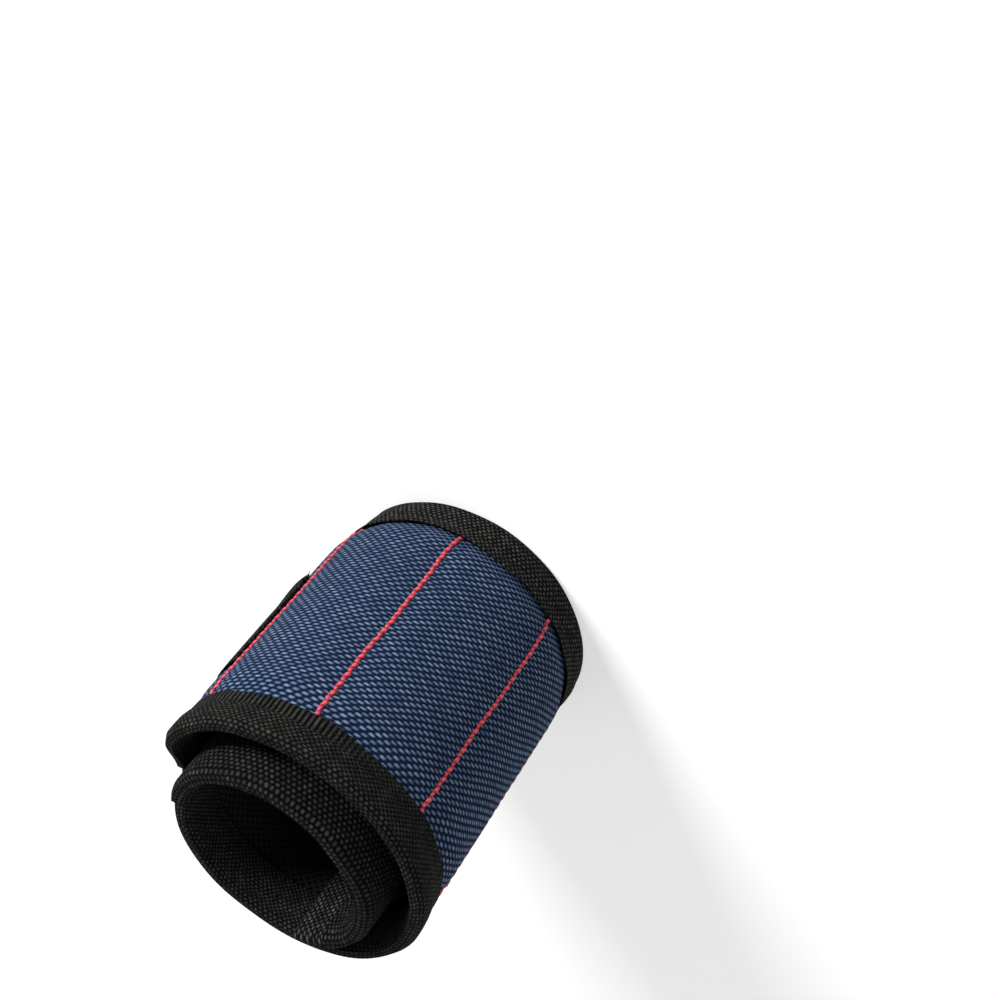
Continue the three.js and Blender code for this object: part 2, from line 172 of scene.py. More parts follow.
def wound_oval(angle, depth):
    """A point of the outermost oval, moved inward by depth; 0 degrees is the front, 90 is +X:
    x is (half width - depth) times the sine, y is -(half depth - depth) times the cosine."""
    turn = np.radians(angle)
    return (HALF_WIDTH - depth) * np.sin(turn), -(HALF_DEPTH - depth) * np.cos(turn)


def make_line(x, y, z, side):
    """A line with its distances, from the lengths of its steps, and its outward direction,
    square to each step; side is 1 where the line runs anticlockwise seen from above."""
    steps = np.sqrt(np.diff(x) ** 2 + np.diff(y) ** 2 + np.diff(z) ** 2)
    across, along = np.gradient(x), np.gradient(y)
    size = np.hypot(across, along)
    return {
        "distance": np.concatenate([[0.0], np.cumsum(steps)]),
        "x": x, "y": y, "z": z,
        "out_x": side * along / size, "out_y": -side * across / size,
    }


def strip_line():
    """The outer face of the strip: the oval, moved inward by the turn's step and up by its
    rise, both eased in before the strip passes behind its own outer end."""
    turned = np.linspace(0, TAIL_END_ANGLE, LINE_STEPS)
    step = ease(DROP_START, DROP_END, turned)
    x, y = wound_oval(OUTER_END_ANGLE - turned, TURN_STEP * step)
    line = make_line(x, y, TURN_RISE * step, -1)
    line["turned"] = turned
    return line


def inner_share(along):
    """0 over the outer turn, 1 over the inner turn, changing about the tail's fold."""
    return ease(TAIL_FOLD - TURN_CHANGE, TAIL_FOLD + TURN_CHANGE, along)


def corner_share(along, height):
    """1 at the upper corner of the loose outer end, fading along the strip and downward."""
    return ease(CORNER_START, CORNER_FULL, along) * ease(CORNER_LOW, CORNER_HIGH, height)


def drawn_in(along, height):
    """How far the sewn strip leans inward of its line, each rim's lean with an eased fade away
    from that rim: the lower rim, most on the side towards the strap, by one plus the cosine of
    the bearing from that side; the upper rim of the inner turn, most near the front, likewise;
    the upper corner of the loose outer end; and, at every height, the first cell, which is
    pressed in by the strap."""
    bearing = np.interp(along, STRIP["distance"], OUTER_END_ANGLE - STRIP["turned"])
    hem_side = (1 + np.cos(np.radians(bearing - HEM_SIDE))) / 2
    hem = HEM_LEAN * hem_side * ease(HEM_REACH, 0.0, height)
    inner_side = (1 + np.cos(np.radians(bearing - INNER_SIDE))) / 2
    inner = INNER_LEAN * inner_side * inner_share(along) * ease(INNER_FOOT, BAND_WIDTH, height)
    corner = CORNER_LEAN * corner_share(along, height)
    press = CELL_PRESS * ease(CELL_PITCH, CELL_PITCH - PRESS_RUN, along)
    return hem + inner + corner + press


def sagged(along, height):
    """Height after the upper corner of the loose outer end has sunk."""
    return height - CORNER_SAG * corner_share(along, height)


STRIP = strip_line()
BAND_LENGTH = STRIP["distance"][-1]
ROWS = CELL_PITCH * np.arange(1, CELL_COUNT + 1)
TAIL_FOLD = float(np.interp(TAIL_FOLD_ANGLE, STRIP["turned"], STRIP["distance"]))


def strap_line():
    """The inner face of the strap, from the first row of stitching: the oval, moved outward
    over the crown of the first cell, then eased down onto the tail."""
    root_turn = np.interp(CELL_PITCH, STRIP["distance"], STRIP["turned"])
    span = math.degrees((STRAP_END + LINE_SPARE) / (HALF_WIDTH - TURN_STEP))
    angle = OUTER_END_ANGLE - root_turn + np.linspace(0, span, STRAP_STEPS)
    over_cell = CELL_CROWN - SEAT_DEPTH + SEAM_GAP
    sunk = TURN_STEP * ease(DROP_START, DROP_END, OUTER_END_ANGLE + 360 - angle)
    over_tail = sunk + SEAT_DEPTH - TAIL_CROWN - 2 * SEAM_GAP - HOOK_THICKNESS
    run = math.degrees(STRAP_STEP_RUN / HALF_WIDTH)
    drop = ease(OUTER_END_ANGLE, OUTER_END_ANGLE + run, angle)
    x, y = wound_oval(angle, mix(-over_cell, over_tail, drop))
    return make_line(x, y, np.zeros_like(x), 1)


STRAP = strap_line()


def carried(line, along, depth, height):
    """Points at a distance along a line, a depth inward from it and a height above its rim,
    in metres: the line's point, less its outward direction times the depth."""
    along, depth, height = np.broadcast_arrays(
        np.asarray(along, float), np.asarray(depth, float), np.asarray(height, float)
    )
    if line is STRIP:
        depth = depth + drawn_in(along, height)
        height = sagged(along, height)
    x, y, z, out_x, out_y = (
        np.interp(along, line["distance"], line[part]) for part in ("x", "y", "z", "out_x", "out_y")
    )
    points = np.stack([x - out_x * depth, y - out_y * depth, z + height], axis=-1)
    return (points + WRAP_CENTRE) * METRE


def ripple(along, height, seed=0.0):
    """Slow unevenness of sewn cloth: three crossed sine waves of unlike length."""
    return (
        0.45 * np.sin(along / 3.9 + 1.3 + seed) * np.sin(height / 5.7 + 0.6 + seed)
        + 0.35 * np.sin(along / 6.3 - height / 4.1 + 2.1 * seed)
        + 0.20 * np.sin(along / 1.9 + height / 2.7 + 0.9)
    )


def drifted(along, height, seed=0.0):
    """A place on the cloth, moved as its threads wander from a straight course: two slow sine
    waves each way, under 0.4 mm together."""
    aside = 0.22 * np.sin(height / 9.7 + along / 31.0 + seed) + 0.13 * np.sin(height / 4.3 - along / 6.1)
    up = 0.24 * np.sin(along / 8.9 + height / 27.0 + 2 * seed) + 0.14 * np.sin(along / 3.7 + height / 5.9)
    return along + aside, height + up


def woven_relief(along, across, pitch):
    """Height from 0 to 1 of threads that pass over and under: the squared cosine along a
    float times the squared cosine across it, rows staggered by half a pitch."""
    row = np.floor(across / pitch[1])
    side = across / pitch[1] - row - 0.5
    place = along / pitch[0] + 0.5 * np.mod(row, 2)
    return np.cos(math.pi * (place - np.floor(place) - 0.5)) ** 2 * np.cos(math.pi * side) ** 2


def row_distance(along):
    """Distance to the nearest row of stitching."""
    return np.min(np.abs(np.asarray(along, float)[..., None] - ROWS), axis=-1)


def is_tail(along):
    """0 over the cells, 1 over the tail, changing at the last row."""
    return ease(ROWS[-1] - ROW_BEND, ROWS[-1] + ROW_BEND, along)


def swell(along):
    """1 over a cell, drawn in at each row of stitching, by the root of an eased rise, and
    under the end tapes, by an eased rise."""
    along = np.asarray(along, float)
    at_row = mix(VALLEY, 1.0, np.sqrt(ease(ROW_START, ROW_RUN, row_distance(along))))
    start = ease(END_TAPE_WIDTH, END_TAPE_WIDTH + CROWN_RUN, along)
    end = ease(END_TAPE_WIDTH, END_TAPE_WIDTH + CROWN_RUN, BAND_LENGTH - along)
    return np.minimum(np.minimum(at_row, start), end)


def rim_swell(height):
    """0 under the rim tapes, 1 over the middle of the band, with an eased rise between."""
    from_rim = np.minimum(height, BAND_WIDTH - height)
    return ease(TAPE_WIDTH - CROWN_INSET, TAPE_WIDTH + RIM_RUN, from_rim)


def pucker(along, height):
    """Small gathers square to a row: a cosine with one wave for each stitch, times a bell
    curve of the distance to the row."""
    beside = np.exp(-(row_distance(along) / PUCKER_REACH) ** 2)
    gathers = np.cos(2 * math.pi * (height - TAPE_WIDTH) / STITCH_PITCH)
    return PUCKER_HEIGHT * beside * gathers * rim_swell(height)


def strap_bed(along, height):
    """The hollow that the strap presses into the first cell: full under the strap, with an
    eased fade at its long edges and towards the row of stitching."""
    from_middle = np.abs(height - STRAP_MIDDLE)
    over = ease(STRAP_WIDTH / 2 + BED_OUTSIDE, STRAP_WIDTH / 2 - BED_INSIDE, from_middle)
    return STRAP_BED * over * ease(CELL_PITCH, CELL_PITCH - BED_ROOT, along)


def cover_depth(along, height):
    """The seat under the tapes, less the crown of the padding, with gathers, unevenness, half
    as much over the tail, and the strap's bed."""
    crown = mix(CELL_CROWN, TAIL_CROWN, is_tail(along))
    full = rim_swell(height) * swell(along)
    slack = COVER_SLACK * ripple(along, height) * full
    slack = slack * (1 - 0.5 * is_tail(along))
    return SEAT_DEPTH - crown * full + pucker(along, height) + slack + strap_bed(along, height)


def thickness_at(along):
    """The strip's thickness at its rims, thinner over the tail."""
    return mix(CELL_THICKNESS, TAIL_THICKNESS, is_tail(along))


def lining_depth(along, height):
    """The seat inside the tapes, plus the belly of the padding, with slight unevenness."""
    belly = mix(CELL_BELLY, TAIL_BELLY, is_tail(along))
    full = rim_swell(height) * swell(along)
    slack = LINING_SLACK * ripple(along, height, 2.0) * full
    return thickness_at(along) - SEAT_DEPTH + belly * full + slack


# Meshes from grids of points

def grid_faces(rows, columns, first=0, turned=False):
    """The four-cornered faces of a grid of points, row after row; turned faces look the other way."""
    corner = first + np.arange((rows - 1) * columns).reshape(rows - 1, columns)[:, :-1].ravel()
    faces = np.stack([corner, corner + 1, corner + columns + 1, corner + columns], axis=1)
    return faces[:, ::-1] if turned else faces


def new_piece(name, points, faces, marks, material, sharp=50.0, caps=()):
    """A mesh object at the origin from points in metres, four-cornered faces, end faces with
    more corners and, for each point, its place on the cloth in metres, kept as its own map."""
    corners = np.concatenate([faces.ravel(), *caps]).astype(np.int32)
    starts = np.arange(0, faces.size, 4)
    if len(caps):
        ends = faces.size + np.cumsum([0] + [len(cap) for cap in caps[:-1]])
        starts = np.concatenate([starts, ends])
    mesh = bpy.data.meshes.new(name)
    mesh.vertices.add(len(points))
    mesh.vertices.foreach_set("co", np.asarray(points, np.float32).ravel())
    mesh.loops.add(len(corners))
    mesh.loops.foreach_set("vertex_index", corners)
    mesh.polygons.add(len(starts))
    mesh.polygons.foreach_set("loop_start", starts.astype(np.int32))
    mesh.polygons.foreach_set("use_smooth", np.ones(len(starts), bool))
    mesh.update(calc_edges=True)
    cloth_map = mesh.uv_layers.new(name=CLOTH_MAP)
    cloth_map.data.foreach_set("uv", np.asarray(marks, np.float32)[corners].ravel())
    mesh.set_sharp_from_angle(angle=math.radians(sharp))
    mesh.materials.append(material)
    piece = bpy.data.objects.new(name, mesh)
    bpy.context.scene.collection.objects.link(piece)
    return piece


def closed_sheet(outer, inner, marks, turned=False):
    """The points, faces and marks of a closed layer between two grids of the same shape: the
    outer grid, the inner grid the other way round, and a strip along each of the four edges."""
    rows, columns = outer.shape[:2]
    count = rows * columns
    places = np.arange(count).reshape(rows, columns)
    strips = []
    edges = ((places[:, 0], False), (places[:, -1], True), (places[0], True), (places[-1], False))
    for edge, flip in edges:
        strip = np.stack([edge[:-1], edge[1:], edge[1:] + count, edge[:-1] + count], axis=1)
        strips.append(strip[:, ::-1] if flip else strip)
    faces = np.concatenate([
        grid_faces(rows, columns),
        grid_faces(rows, columns, count, True),
        *strips,
    ])
    if turned:
        faces = faces[:, ::-1]
    points = np.concatenate([outer.reshape(-1, 3), inner.reshape(-1, 3)])
    marks = np.tile(marks.reshape(-1, 2), (2, 1))
    return points, faces, marks


def ring_piece(name, points, marks, material, turned=False):
    """A closed piece from rings of points along a line, with a many-cornered face at each end."""
    rings, around = points.shape[:2]
    corner = np.arange((rings - 1) * around).reshape(rings - 1, around)
    following = np.roll(corner, -1, axis=1)
    faces = np.stack([corner, following, following + around, corner + around], axis=-1).reshape(-1, 4)
    caps = [np.arange(around)[::-1], np.arange(around) + (rings - 1) * around]
    if turned:
        faces = faces[:, ::-1]
        caps = [cap[::-1] for cap in caps]
    return new_piece(name, points.reshape(-1, 3), faces, marks.reshape(-1, 2), material, caps=caps)


def tube_points(centres, sideways, outward, widths, heights, around):
    """Rings of points round centre lines, many lines at once: each ring is an ellipse in the
    plane of its two directions. centres has the shape (lines, steps, 3)."""
    turn = np.linspace(0, 2 * math.pi, around, endpoint=False)
    ring = (
        sideways[..., None, :] * (widths[..., None] * np.cos(turn))[..., None]
        + outward[..., None, :] * (heights[..., None] * np.sin(turn))[..., None]
    )
    return centres[..., None, :] + ring


# Four-cornered faces that close a tube's end, by the number of points round it
END_FACES = {6: [[0, 1, 2, 3], [0, 3, 4, 5]], 8: [[0, 1, 2, 3], [0, 3, 4, 7], [4, 5, 6, 7]]}


def tube_faces(lines, steps, around):
    """Faces of those rings, and of both ends of each tube, all with four corners."""
    line, step, side = np.meshgrid(
        np.arange(lines), np.arange(steps - 1), np.arange(around), indexing="ij"
    )
    base = (line * steps + step) * around
    here, following = base + side, base + (side + 1) % around
    faces = np.stack([here, following, following + around, here + around], axis=-1)
    end = np.array(END_FACES[around])[None, :, :]
    first = np.arange(lines)[:, None, None] * steps * around
    last = first + (steps - 1) * around
    closings = (first + end[..., ::-1], last + end)
    return np.concatenate([part.reshape(-1, 4) for part in (faces, *closings)])


def even(start, end, step):
    """Places from start to end, evenly spaced at nearly the given step."""
    return np.linspace(start, end, max(2, int(round((end - start) / step)) + 1))


# Wiring of materials

def operation(kind, turned=False):
    """A method of Wire that sets one math node; turned puts the wire after its partner."""
    def method(wire, *others):
        values = (*others, wire) if turned else (wire, *others)
        return wire.nodes.math(kind, *values)
    return method


class Wire:
    """An output in a node tree. Arithmetic on it sets the math nodes that work it out."""

    def __init__(self, nodes, socket):
        self.nodes, self.socket = nodes, socket

    __add__ = __radd__ = operation("ADD")
    __mul__ = __rmul__ = operation("MULTIPLY")
    __sub__, __rsub__ = operation("SUBTRACT"), operation("SUBTRACT", turned=True)
    __truediv__, __pow__, __abs__ = operation("DIVIDE"), operation("POWER"), operation("ABSOLUTE")
    floor, fraction, modulo = operation("FLOOR"), operation("FRACT"), operation("FLOORED_MODULO")
    root, sine = operation("SQRT"), operation("SINE")
    at_least, at_most = operation("MAXIMUM"), operation("MINIMUM")

    def shifted(self, low, high, new_low=0.0, new_high=1.0, smooth=False):
        """The wire carried from one range to another and held inside it."""
        return self.nodes.wire(
            "Result", "ShaderNodeMapRange",
            ("Value", self), ("From Min", low), ("From Max", high),
            ("To Min", new_low), ("To Max", new_high),
            interpolation_type="SMOOTHSTEP" if smooth else "LINEAR",
        )


class Wiring:
    """Sets nodes into one tree; each input is a plain value or a wire from another node."""

    def __init__(self, tree):
        self.tree = tree

    def join(self, value, socket):
        """Sets an input to a plain value, or links a wire to it."""
        if isinstance(value, Wire):
            self.tree.links.new(value.socket, socket)
        else:
            socket.default_value = value

    def node(self, kind, *joins, **settings):
        """A new node with its settings, and with a value or wire at each named input."""
        made = self.tree.nodes.new(kind)
        for name, value in settings.items():
            setattr(made, name, value)
        for socket, value in joins:
            self.join(value, made.inputs[socket])
        return made

    def wire(self, output, kind, *joins, **settings):
        """One output of a new node."""
        return Wire(self, self.node(kind, *joins, **settings).outputs[output])

    def wires(self, kind, *joins, **settings):
        """All outputs of a new node, by name."""
        made = self.node(kind, *joins, **settings)
        return {output.name: Wire(self, output) for output in made.outputs}

    def math(self, kind, *values):
        """The outcome of one math node."""
        return self.wire(0, "ShaderNodeMath", *enumerate(values), operation=kind)

    def parts(self, vector):
        """The X, Y and Z of a vector."""
        return self.wires("ShaderNodeSeparateXYZ", (0, vector)).values()

    def blend(self, share, first, second):
        """A colour between two colours."""
        return self.wire(2, "ShaderNodeMix", (0, share), (6, first), (7, second), data_type="RGBA")

    def noise(self, place, scale, detail=2.0, roughness=0.5, output="Fac"):
        """Smooth random values about a half."""
        return self.wire(
            output, "ShaderNodeTexNoise",
            ("Vector", place), ("Scale", scale), ("Detail", detail), ("Roughness", roughness),
        )

    def streaks(self, place, scales):
        """Noise that is drawn out along the axis with the smallest scale."""
        return self.noise(self.wire(0, "ShaderNodeMapping", ("Vector", place), ("Scale", scales)), 1.0)

    def bubbles(self, place, scale):
        """The distance to the nearest of many scattered points."""
        return self.wire("Distance", "ShaderNodeTexVoronoi", ("Vector", place), ("Scale", scale))


# Effects that more than one material uses

def make_group(name, inputs, formula):
    """A node group. An input with no usual value is a place, the others are numbers, and the
    outputs are what the formula works out, by name."""
    group = bpy.data.node_groups.new(name, "ShaderNodeTree")
    for label, usual in inputs.items():
        kind = "NodeSocketVector" if usual is None else "NodeSocketFloat"
        socket = group.interface.new_socket(name=label, in_out="INPUT", socket_type=kind)
        if usual is not None:
            socket.default_value = usual
    nodes = Wiring(group)
    results = formula(nodes, nodes.wires("NodeGroupInput"))
    for label in results:
        group.interface.new_socket(name=label, in_out="OUTPUT", socket_type="NodeSocketFloat")
    nodes.node("NodeGroupOutput", *results.items())
    return group


def plain_weave(nodes, given):
    """Plain weave. Each thread along the strip shows as short floats, staggered by half a
    pitch from row to row, and the thread across it shows in the gap between two floats. A
    float's height is the root of (1 - its along share squared) times (1 - across squared).
    Slant leans each float by a share of its pitch, as twisted thread looks."""
    x, y, _ = nodes.parts(given["Cloth"])
    across = y / given["Across pitch"]
    row = across.floor()
    side = across - row - 0.5
    along = x / given["Along pitch"] + row.modulo(2.0) * 0.5 + side * given["Slant"]
    column = along.floor()
    place = along - column - 0.5
    round_across = 1.0 - (abs(side) * 2.0) ** 2.0
    reach = place / given["Float share"]
    round_along = (1.0 - reach * reach).at_least(0.0)
    float_height = (round_across * round_along).root()
    gap = (0.5 - abs(place)) / (0.5 - given["Float share"] * 0.9)
    crossing = (1.0 - gap * gap).at_least(0.0).root() * (round_across * 0.35 + 0.1)
    cell = nodes.wire(0, "ShaderNodeCombineXYZ", (0, column), (1, row))
    chance = nodes.wire("Value", "ShaderNodeTexWhiteNoise", ("Vector", cell), noise_dimensions="3D")
    return {
        "Height": float_height.at_least(crossing),
        "Glint": round_across ** 3.0 * round_along,
        "Chance": chance,
    }


def fibre_fuzz(nodes, given):
    """Loose fibres: fine noise and coarser clumps, half of each."""
    fine = nodes.noise(given["Cloth"], given["Scale"], 3.0, 0.65)
    clumps = nodes.noise(given["Cloth"], given["Scale"] * 0.22)
    return {"Height": clumps * 0.5 + fine * 0.5}


def slow_fade(nodes, given):
    """Uneven colour over the whole piece, from slow noise in the object's own measures."""
    return {"Share": nodes.noise(given["Place"], given["Scale"], 3.0).shifted(0.3, 0.7)}


WEAVE = make_group(
    "plain weave",
    {"Cloth": None, "Along pitch": 1.3e-3, "Across pitch": 1.0e-3, "Float share": 0.4, "Slant": 0.0},
    plain_weave,
)
FUZZ = make_group("fibre fuzz", {"Cloth": None, "Scale": 1500.0}, fibre_fuzz)
FADE = make_group("slow fade", {"Place": None, "Scale": 45.0}, slow_fade)


def placed(nodes, group, **values):
    """The outputs of a shared group in a material; underscores in a name stand for spaces."""
    joins = ((name.replace("_", " "), value) for name, value in values.items())
    return nodes.wires("ShaderNodeGroup", *joins, node_tree=group)


def placed_weave(nodes, cloth, pitch, float_share, slant=0.0):
    """The weave in a material, its two pitches given in millimetres."""
    along, across = pitch
    return placed(
        nodes, WEAVE, Cloth=cloth, Along_pitch=along * METRE, Across_pitch=across * METRE,
        Float_share=float_share, Slant=slant,
    )


def cloth_place(nodes):
    """The place on the cloth, from the piece's own map."""
    return nodes.wire(0, "ShaderNodeUVMap", uv_map=CLOTH_MAP)


def object_place(nodes):
    """The place in the object."""
    return nodes.wire("Object", "ShaderNodeTexCoord")


# Materials

def rgb(red, green, blue):
    """A colour as its plain screen values from 0 to 255, made linear."""
    share = np.array([red, green, blue]) / 255.0
    linear = np.where(share <= 0.04045, share / 12.92, ((share + 0.055) / 1.055) ** 2.4)
    return (*linear.tolist(), 1.0)


def start_material(name, roughness, specular=0.5):
    """A new material with a plain shader; returns it with its wiring and its shader."""
    made = bpy.data.materials.new(name)
    made.use_nodes = True
    made.node_tree.nodes.clear()
    nodes = Wiring(made.node_tree)
    shader = nodes.node(
        "ShaderNodeBsdfPrincipled",
        ("Roughness", roughness), ("Specular IOR Level", specular), ("Coat Roughness", COAT_ROUGHNESS),
    )
    nodes.node("ShaderNodeOutputMaterial", (0, Wire(nodes, shader.outputs[0])))
    return made, nodes, shader


def end_material(made, nodes, shader, colour, height, relief):
    """Joins a material's colour and its surface; relief is how far height 1 stands above
    height 0, in millimetres."""
    nodes.join(colour, shader.inputs["Base Color"])
    bump = nodes.wire(
        0, "ShaderNodeBump", ("Height", height), ("Distance", relief * METRE), ("Strength", 1.0),
    )
    nodes.join(bump, shader.inputs["Normal"])
    return made


def woven_material(name, painted_shade, middle, painted_highlight, pitch, float_share, relief, gloss, slant=0.0):
    """Woven cloth: painted shade between the threads, an even tone over each float, and a
    painted highlight along its top, brighter on some floats than on others; the tops are also slightly
    glossy."""
    made, nodes, shader = start_material(name, *MATT_CLOTH)
    cloth = cloth_place(nodes)
    weave = placed_weave(nodes, cloth, pitch, float_share, slant)
    fade = placed(nodes, FADE, Place=object_place(nodes))["Share"]
    strands = nodes.streaks(cloth, (500.0, 5200.0, 1.0))
    # Painted shade: the darkest colour fills the low places between the floats.
    body = nodes.blend(weave["Height"].shifted(0.2, 0.9), painted_shade, middle)
    # Painted highlight: the lightest colour runs along each float's top, stronger on some floats and
    # strands than on others.
    lit = weave["Glint"] * (weave["Chance"] * 0.7 + 0.3) * (fade * 0.3 + 0.75)
    lit = lit * strands.shifted(0.3, 0.6, 0.55, 1.1)
    nodes.join(weave["Glint"] * gloss, shader.inputs["Coat Weight"])
    height = strands * 0.3 + weave["Height"]
    return end_material(made, nodes, shader, nodes.blend(lit, body, painted_highlight), height, relief)


def ribbed_edges(along, across, uneven, height):
    """A tape's height with rounded square ribs near both of its edges, which fade out along
    the tape. A rib is the power 0.7 of half of one plus a sine along the tape."""
    edge = across.at_most(TAPE_SPREAD * METRE - across)
    share = edge.shifted(RIB_REACH * METRE, (RIB_REACH + RIB_SPREAD) * METRE, 1.0, 0.0, smooth=True)
    share = share * along.shifted(RIB_START * METRE, RIB_END * METRE, 0.9, 0.1, smooth=True)
    wave = along * (2 * math.pi / (RIB_PITCH * METRE)) + uneven * 3.0
    rib = (wave.sine() * 0.5 + 0.5) ** 0.7
    return rib * share + height * (1.0 - share)


def tape_material(name, pitch, waver, painted_shade, middle, painted_highlight, ribbed=False):
    """Binding tape: a small, close, uneven staggered weave, with ribbed edges on the upper
    tape. The cloth map runs along the tape and across it, edge to edge."""
    made, nodes, shader = start_material(name, *MATT_CLOTH)
    cloth = cloth_place(nodes)
    along, across, _ = nodes.parts(cloth)
    noise = nodes.noise(cloth, 620.0, 1.0, output="Color")
    centred = nodes.wire(0, "ShaderNodeVectorMath", (0, noise), (1, (-0.5, -0.5, -0.5)), operation="ADD")
    sway = (waver * METRE, 0.8 * waver * METRE, 0.0)
    wavered = nodes.wire(
        0, "ShaderNodeVectorMath", (0, centred), (1, sway), (2, cloth), operation="MULTIPLY_ADD",
    )
    weave = placed_weave(nodes, wavered, pitch, 0.41)
    uneven = placed(nodes, FUZZ, Cloth=cloth, Scale=1900.0)["Height"] - 0.5
    height = weave["Height"]
    if ribbed:
        height = ribbed_edges(along, across, uneven, height)
    height = uneven * 1.1 + height
    # Painted shade in the low places of the weave and ribs, and a painted highlight on the high places.
    body = nodes.blend(height.shifted(0.1, 0.75), painted_shade, middle)
    lit = height.shifted(0.55, 1.25) ** 1.4 * (weave["Chance"] * 0.6 + 0.3)
    return end_material(made, nodes, shader, nodes.blend(lit, body, painted_highlight), height, 0.22)


def pile_material(name):
    """Loop cloth: short tangled loops in clumps."""
    made, nodes, shader = start_material(name, 0.95, 0.02)
    cloth = cloth_place(nodes)
    fuzz = placed(nodes, FUZZ, Cloth=cloth, Scale=1800.0)["Height"]
    height = nodes.bubbles(cloth, 1400.0) * -0.5 + (fuzz + 0.4)
    colour = nodes.blend(height.shifted(0.2, 0.8), rgb(6, 6, 7), rgb(34, 34, 36))
    return end_material(made, nodes, shader, colour, height, 0.5)


def mesh_material(name):
    """Open lining: small round holes in staggered rows over a darker ground."""
    made, nodes, shader = start_material(name, 0.88, 0.03)
    cloth = cloth_place(nodes)
    x, y, _ = nodes.parts(cloth)
    holes = []
    for stagger in (0.0, 0.5):
        over = (x / (HOLE_PITCH[0] * METRE) + stagger).fraction() - 0.5
        down = (y / (HOLE_PITCH[1] * METRE) + stagger).fraction() - 0.5
        holes.append((down * down + over * over).root().shifted(0.13, 0.21, 1.0, 0.0, smooth=True))
    fuzz = placed(nodes, FUZZ, Cloth=cloth, Scale=2200.0)["Height"]
    height = fuzz * 0.3 + 0.7 - holes[0].at_least(holes[1])
    colour = nodes.blend(height.shifted(0.0, 1.0), rgb(4, 4, 5), rgb(34, 35, 38))
    return end_material(made, nodes, shader, colour, height, 0.35)


def thread_material(name, painted_shade, painted_highlight):
    """Twisted sewing thread: plies that wind round the stitch, seen as slanted stripes of
    painted shade in the grooves between plies and a painted highlight on their crests.
    """
    made, nodes, shader = start_material(name, 0.6, 0.15)
    along, around, _ = nodes.parts(cloth_place(nodes))
    wind = along * (2 * math.pi * THREAD_TURNS / (STITCH_PITCH * METRE)) + around
    ply = (wind.sine() * 0.5 + 0.5) ** 0.6
    return end_material(made, nodes, shader, nodes.blend(ply, painted_shade, painted_highlight), ply, 0.1)


def foam_material(name):
    """Closed-cell foam: small round cells with a pale skin."""
    made, nodes, shader = start_material(name, 0.9)
    place = object_place(nodes)
    cells = nodes.bubbles(place, 1500.0)
    tone = cells * 0.5 + placed(nodes, FADE, Place=place)["Share"] * 0.4
    colour = nodes.blend(tone, rgb(176, 172, 158), rgb(224, 220, 206))
    return end_material(made, nodes, shader, colour, cells, 0.15)


def nickel_material(name):
    """Nickel plate: metal with fine rubbing marks and a few dull patches."""
    made, nodes, shader = start_material(name, 0.3)
    nodes.join(1.0, shader.inputs["Metallic"])
    place = object_place(nodes)
    rubbed = nodes.streaks(place, (9000.0, 9000.0, 600.0))
    fade = placed(nodes, FADE, Place=place, Scale=300.0)["Share"]
    nodes.join(rubbed * 0.2 + (fade * 0.12 + 0.18), shader.inputs["Roughness"])
    colour = nodes.blend(fade, rgb(176, 178, 182), rgb(200, 201, 204))
    return end_material(made, nodes, shader, colour, rubbed, 0.01)


# For each woven cloth and tape: the first colour is painted shade between its threads, the middle one its
# own tone, the last a painted highlight on their tops.
NAVY = woven_material(
    "navy nylon", painted_shade=rgb(4, 13, 34), middle=rgb(45, 64, 95), painted_highlight=rgb(124, 143, 169),
    pitch=NAVY_PITCH, float_share=0.365, relief=0.38, gloss=0.25, slant=0.2,
)
RIBBED_TAPE = tape_material(
    "ribbed black tape", TAPE_PITCH, waver=0.42,
    painted_shade=rgb(1, 1, 1), middle=rgb(25, 26, 24), painted_highlight=rgb(82, 83, 79), ribbed=True,
)
TAPE = tape_material(
    "black tape", LOWER_TAPE_PITCH, waver=0.45,
    painted_shade=rgb(2, 2, 2), middle=rgb(24, 24, 23), painted_highlight=rgb(112, 112, 108),
)
INNER_TAPE = tape_material(
    "coarse black tape", INNER_TAPE_PITCH, waver=0.3,
    painted_shade=rgb(1, 1, 1), middle=rgb(20, 20, 20), painted_highlight=rgb(82, 83, 81),
)
LOOP = pile_material("loop cloth")
LINING = mesh_material("lining")
STRAP_CLOTH = woven_material(
    "strap", painted_shade=rgb(4, 4, 5), middle=rgb(18, 18, 19), painted_highlight=rgb(66, 66, 66),
    pitch=STRAP_PITCH, float_share=0.34, relief=0.25, gloss=0.1,
)
HOOK_CLOTH = woven_material(
    "hook tape", painted_shade=rgb(5, 5, 6), middle=rgb(20, 20, 21), painted_highlight=rgb(56, 56, 58),
    pitch=HOOK_PITCH, float_share=0.4, relief=0.15, gloss=0.2,
)
# For each thread: painted shade in the grooves between plies, then a painted highlight on their crests.
RED_THREAD = thread_material("red thread", rgb(128, 26, 38), rgb(224, 88, 99))
BLACK_THREAD = thread_material("black thread", rgb(6, 6, 6), rgb(38, 38, 38))
FOAM = foam_material("foam")
NICKEL = nickel_material("nickel plate")


# Stretches of the strip, each cut between two folds

def fold_reach(place, bend):
    """Two points on the line, a bend before a fold and a bend after it."""
    return [tuple(carried(STRIP, place + away, 0.0, MIDDLE).tolist()) for away in (-bend, bend)]


MID_CELLS = ROWS - CELL_PITCH / 2
MID_CELLS[0] = FIRST_CUT
MID_BACK = (ROWS[-1] + TAIL_FOLD) / 2
AFTER_FOLD = TAIL_FOLD + FOLD_CLEARANCE
LAST_ROW, LAST_CELL = f"row_{CELL_COUNT}", f"cell_{CELL_COUNT}"

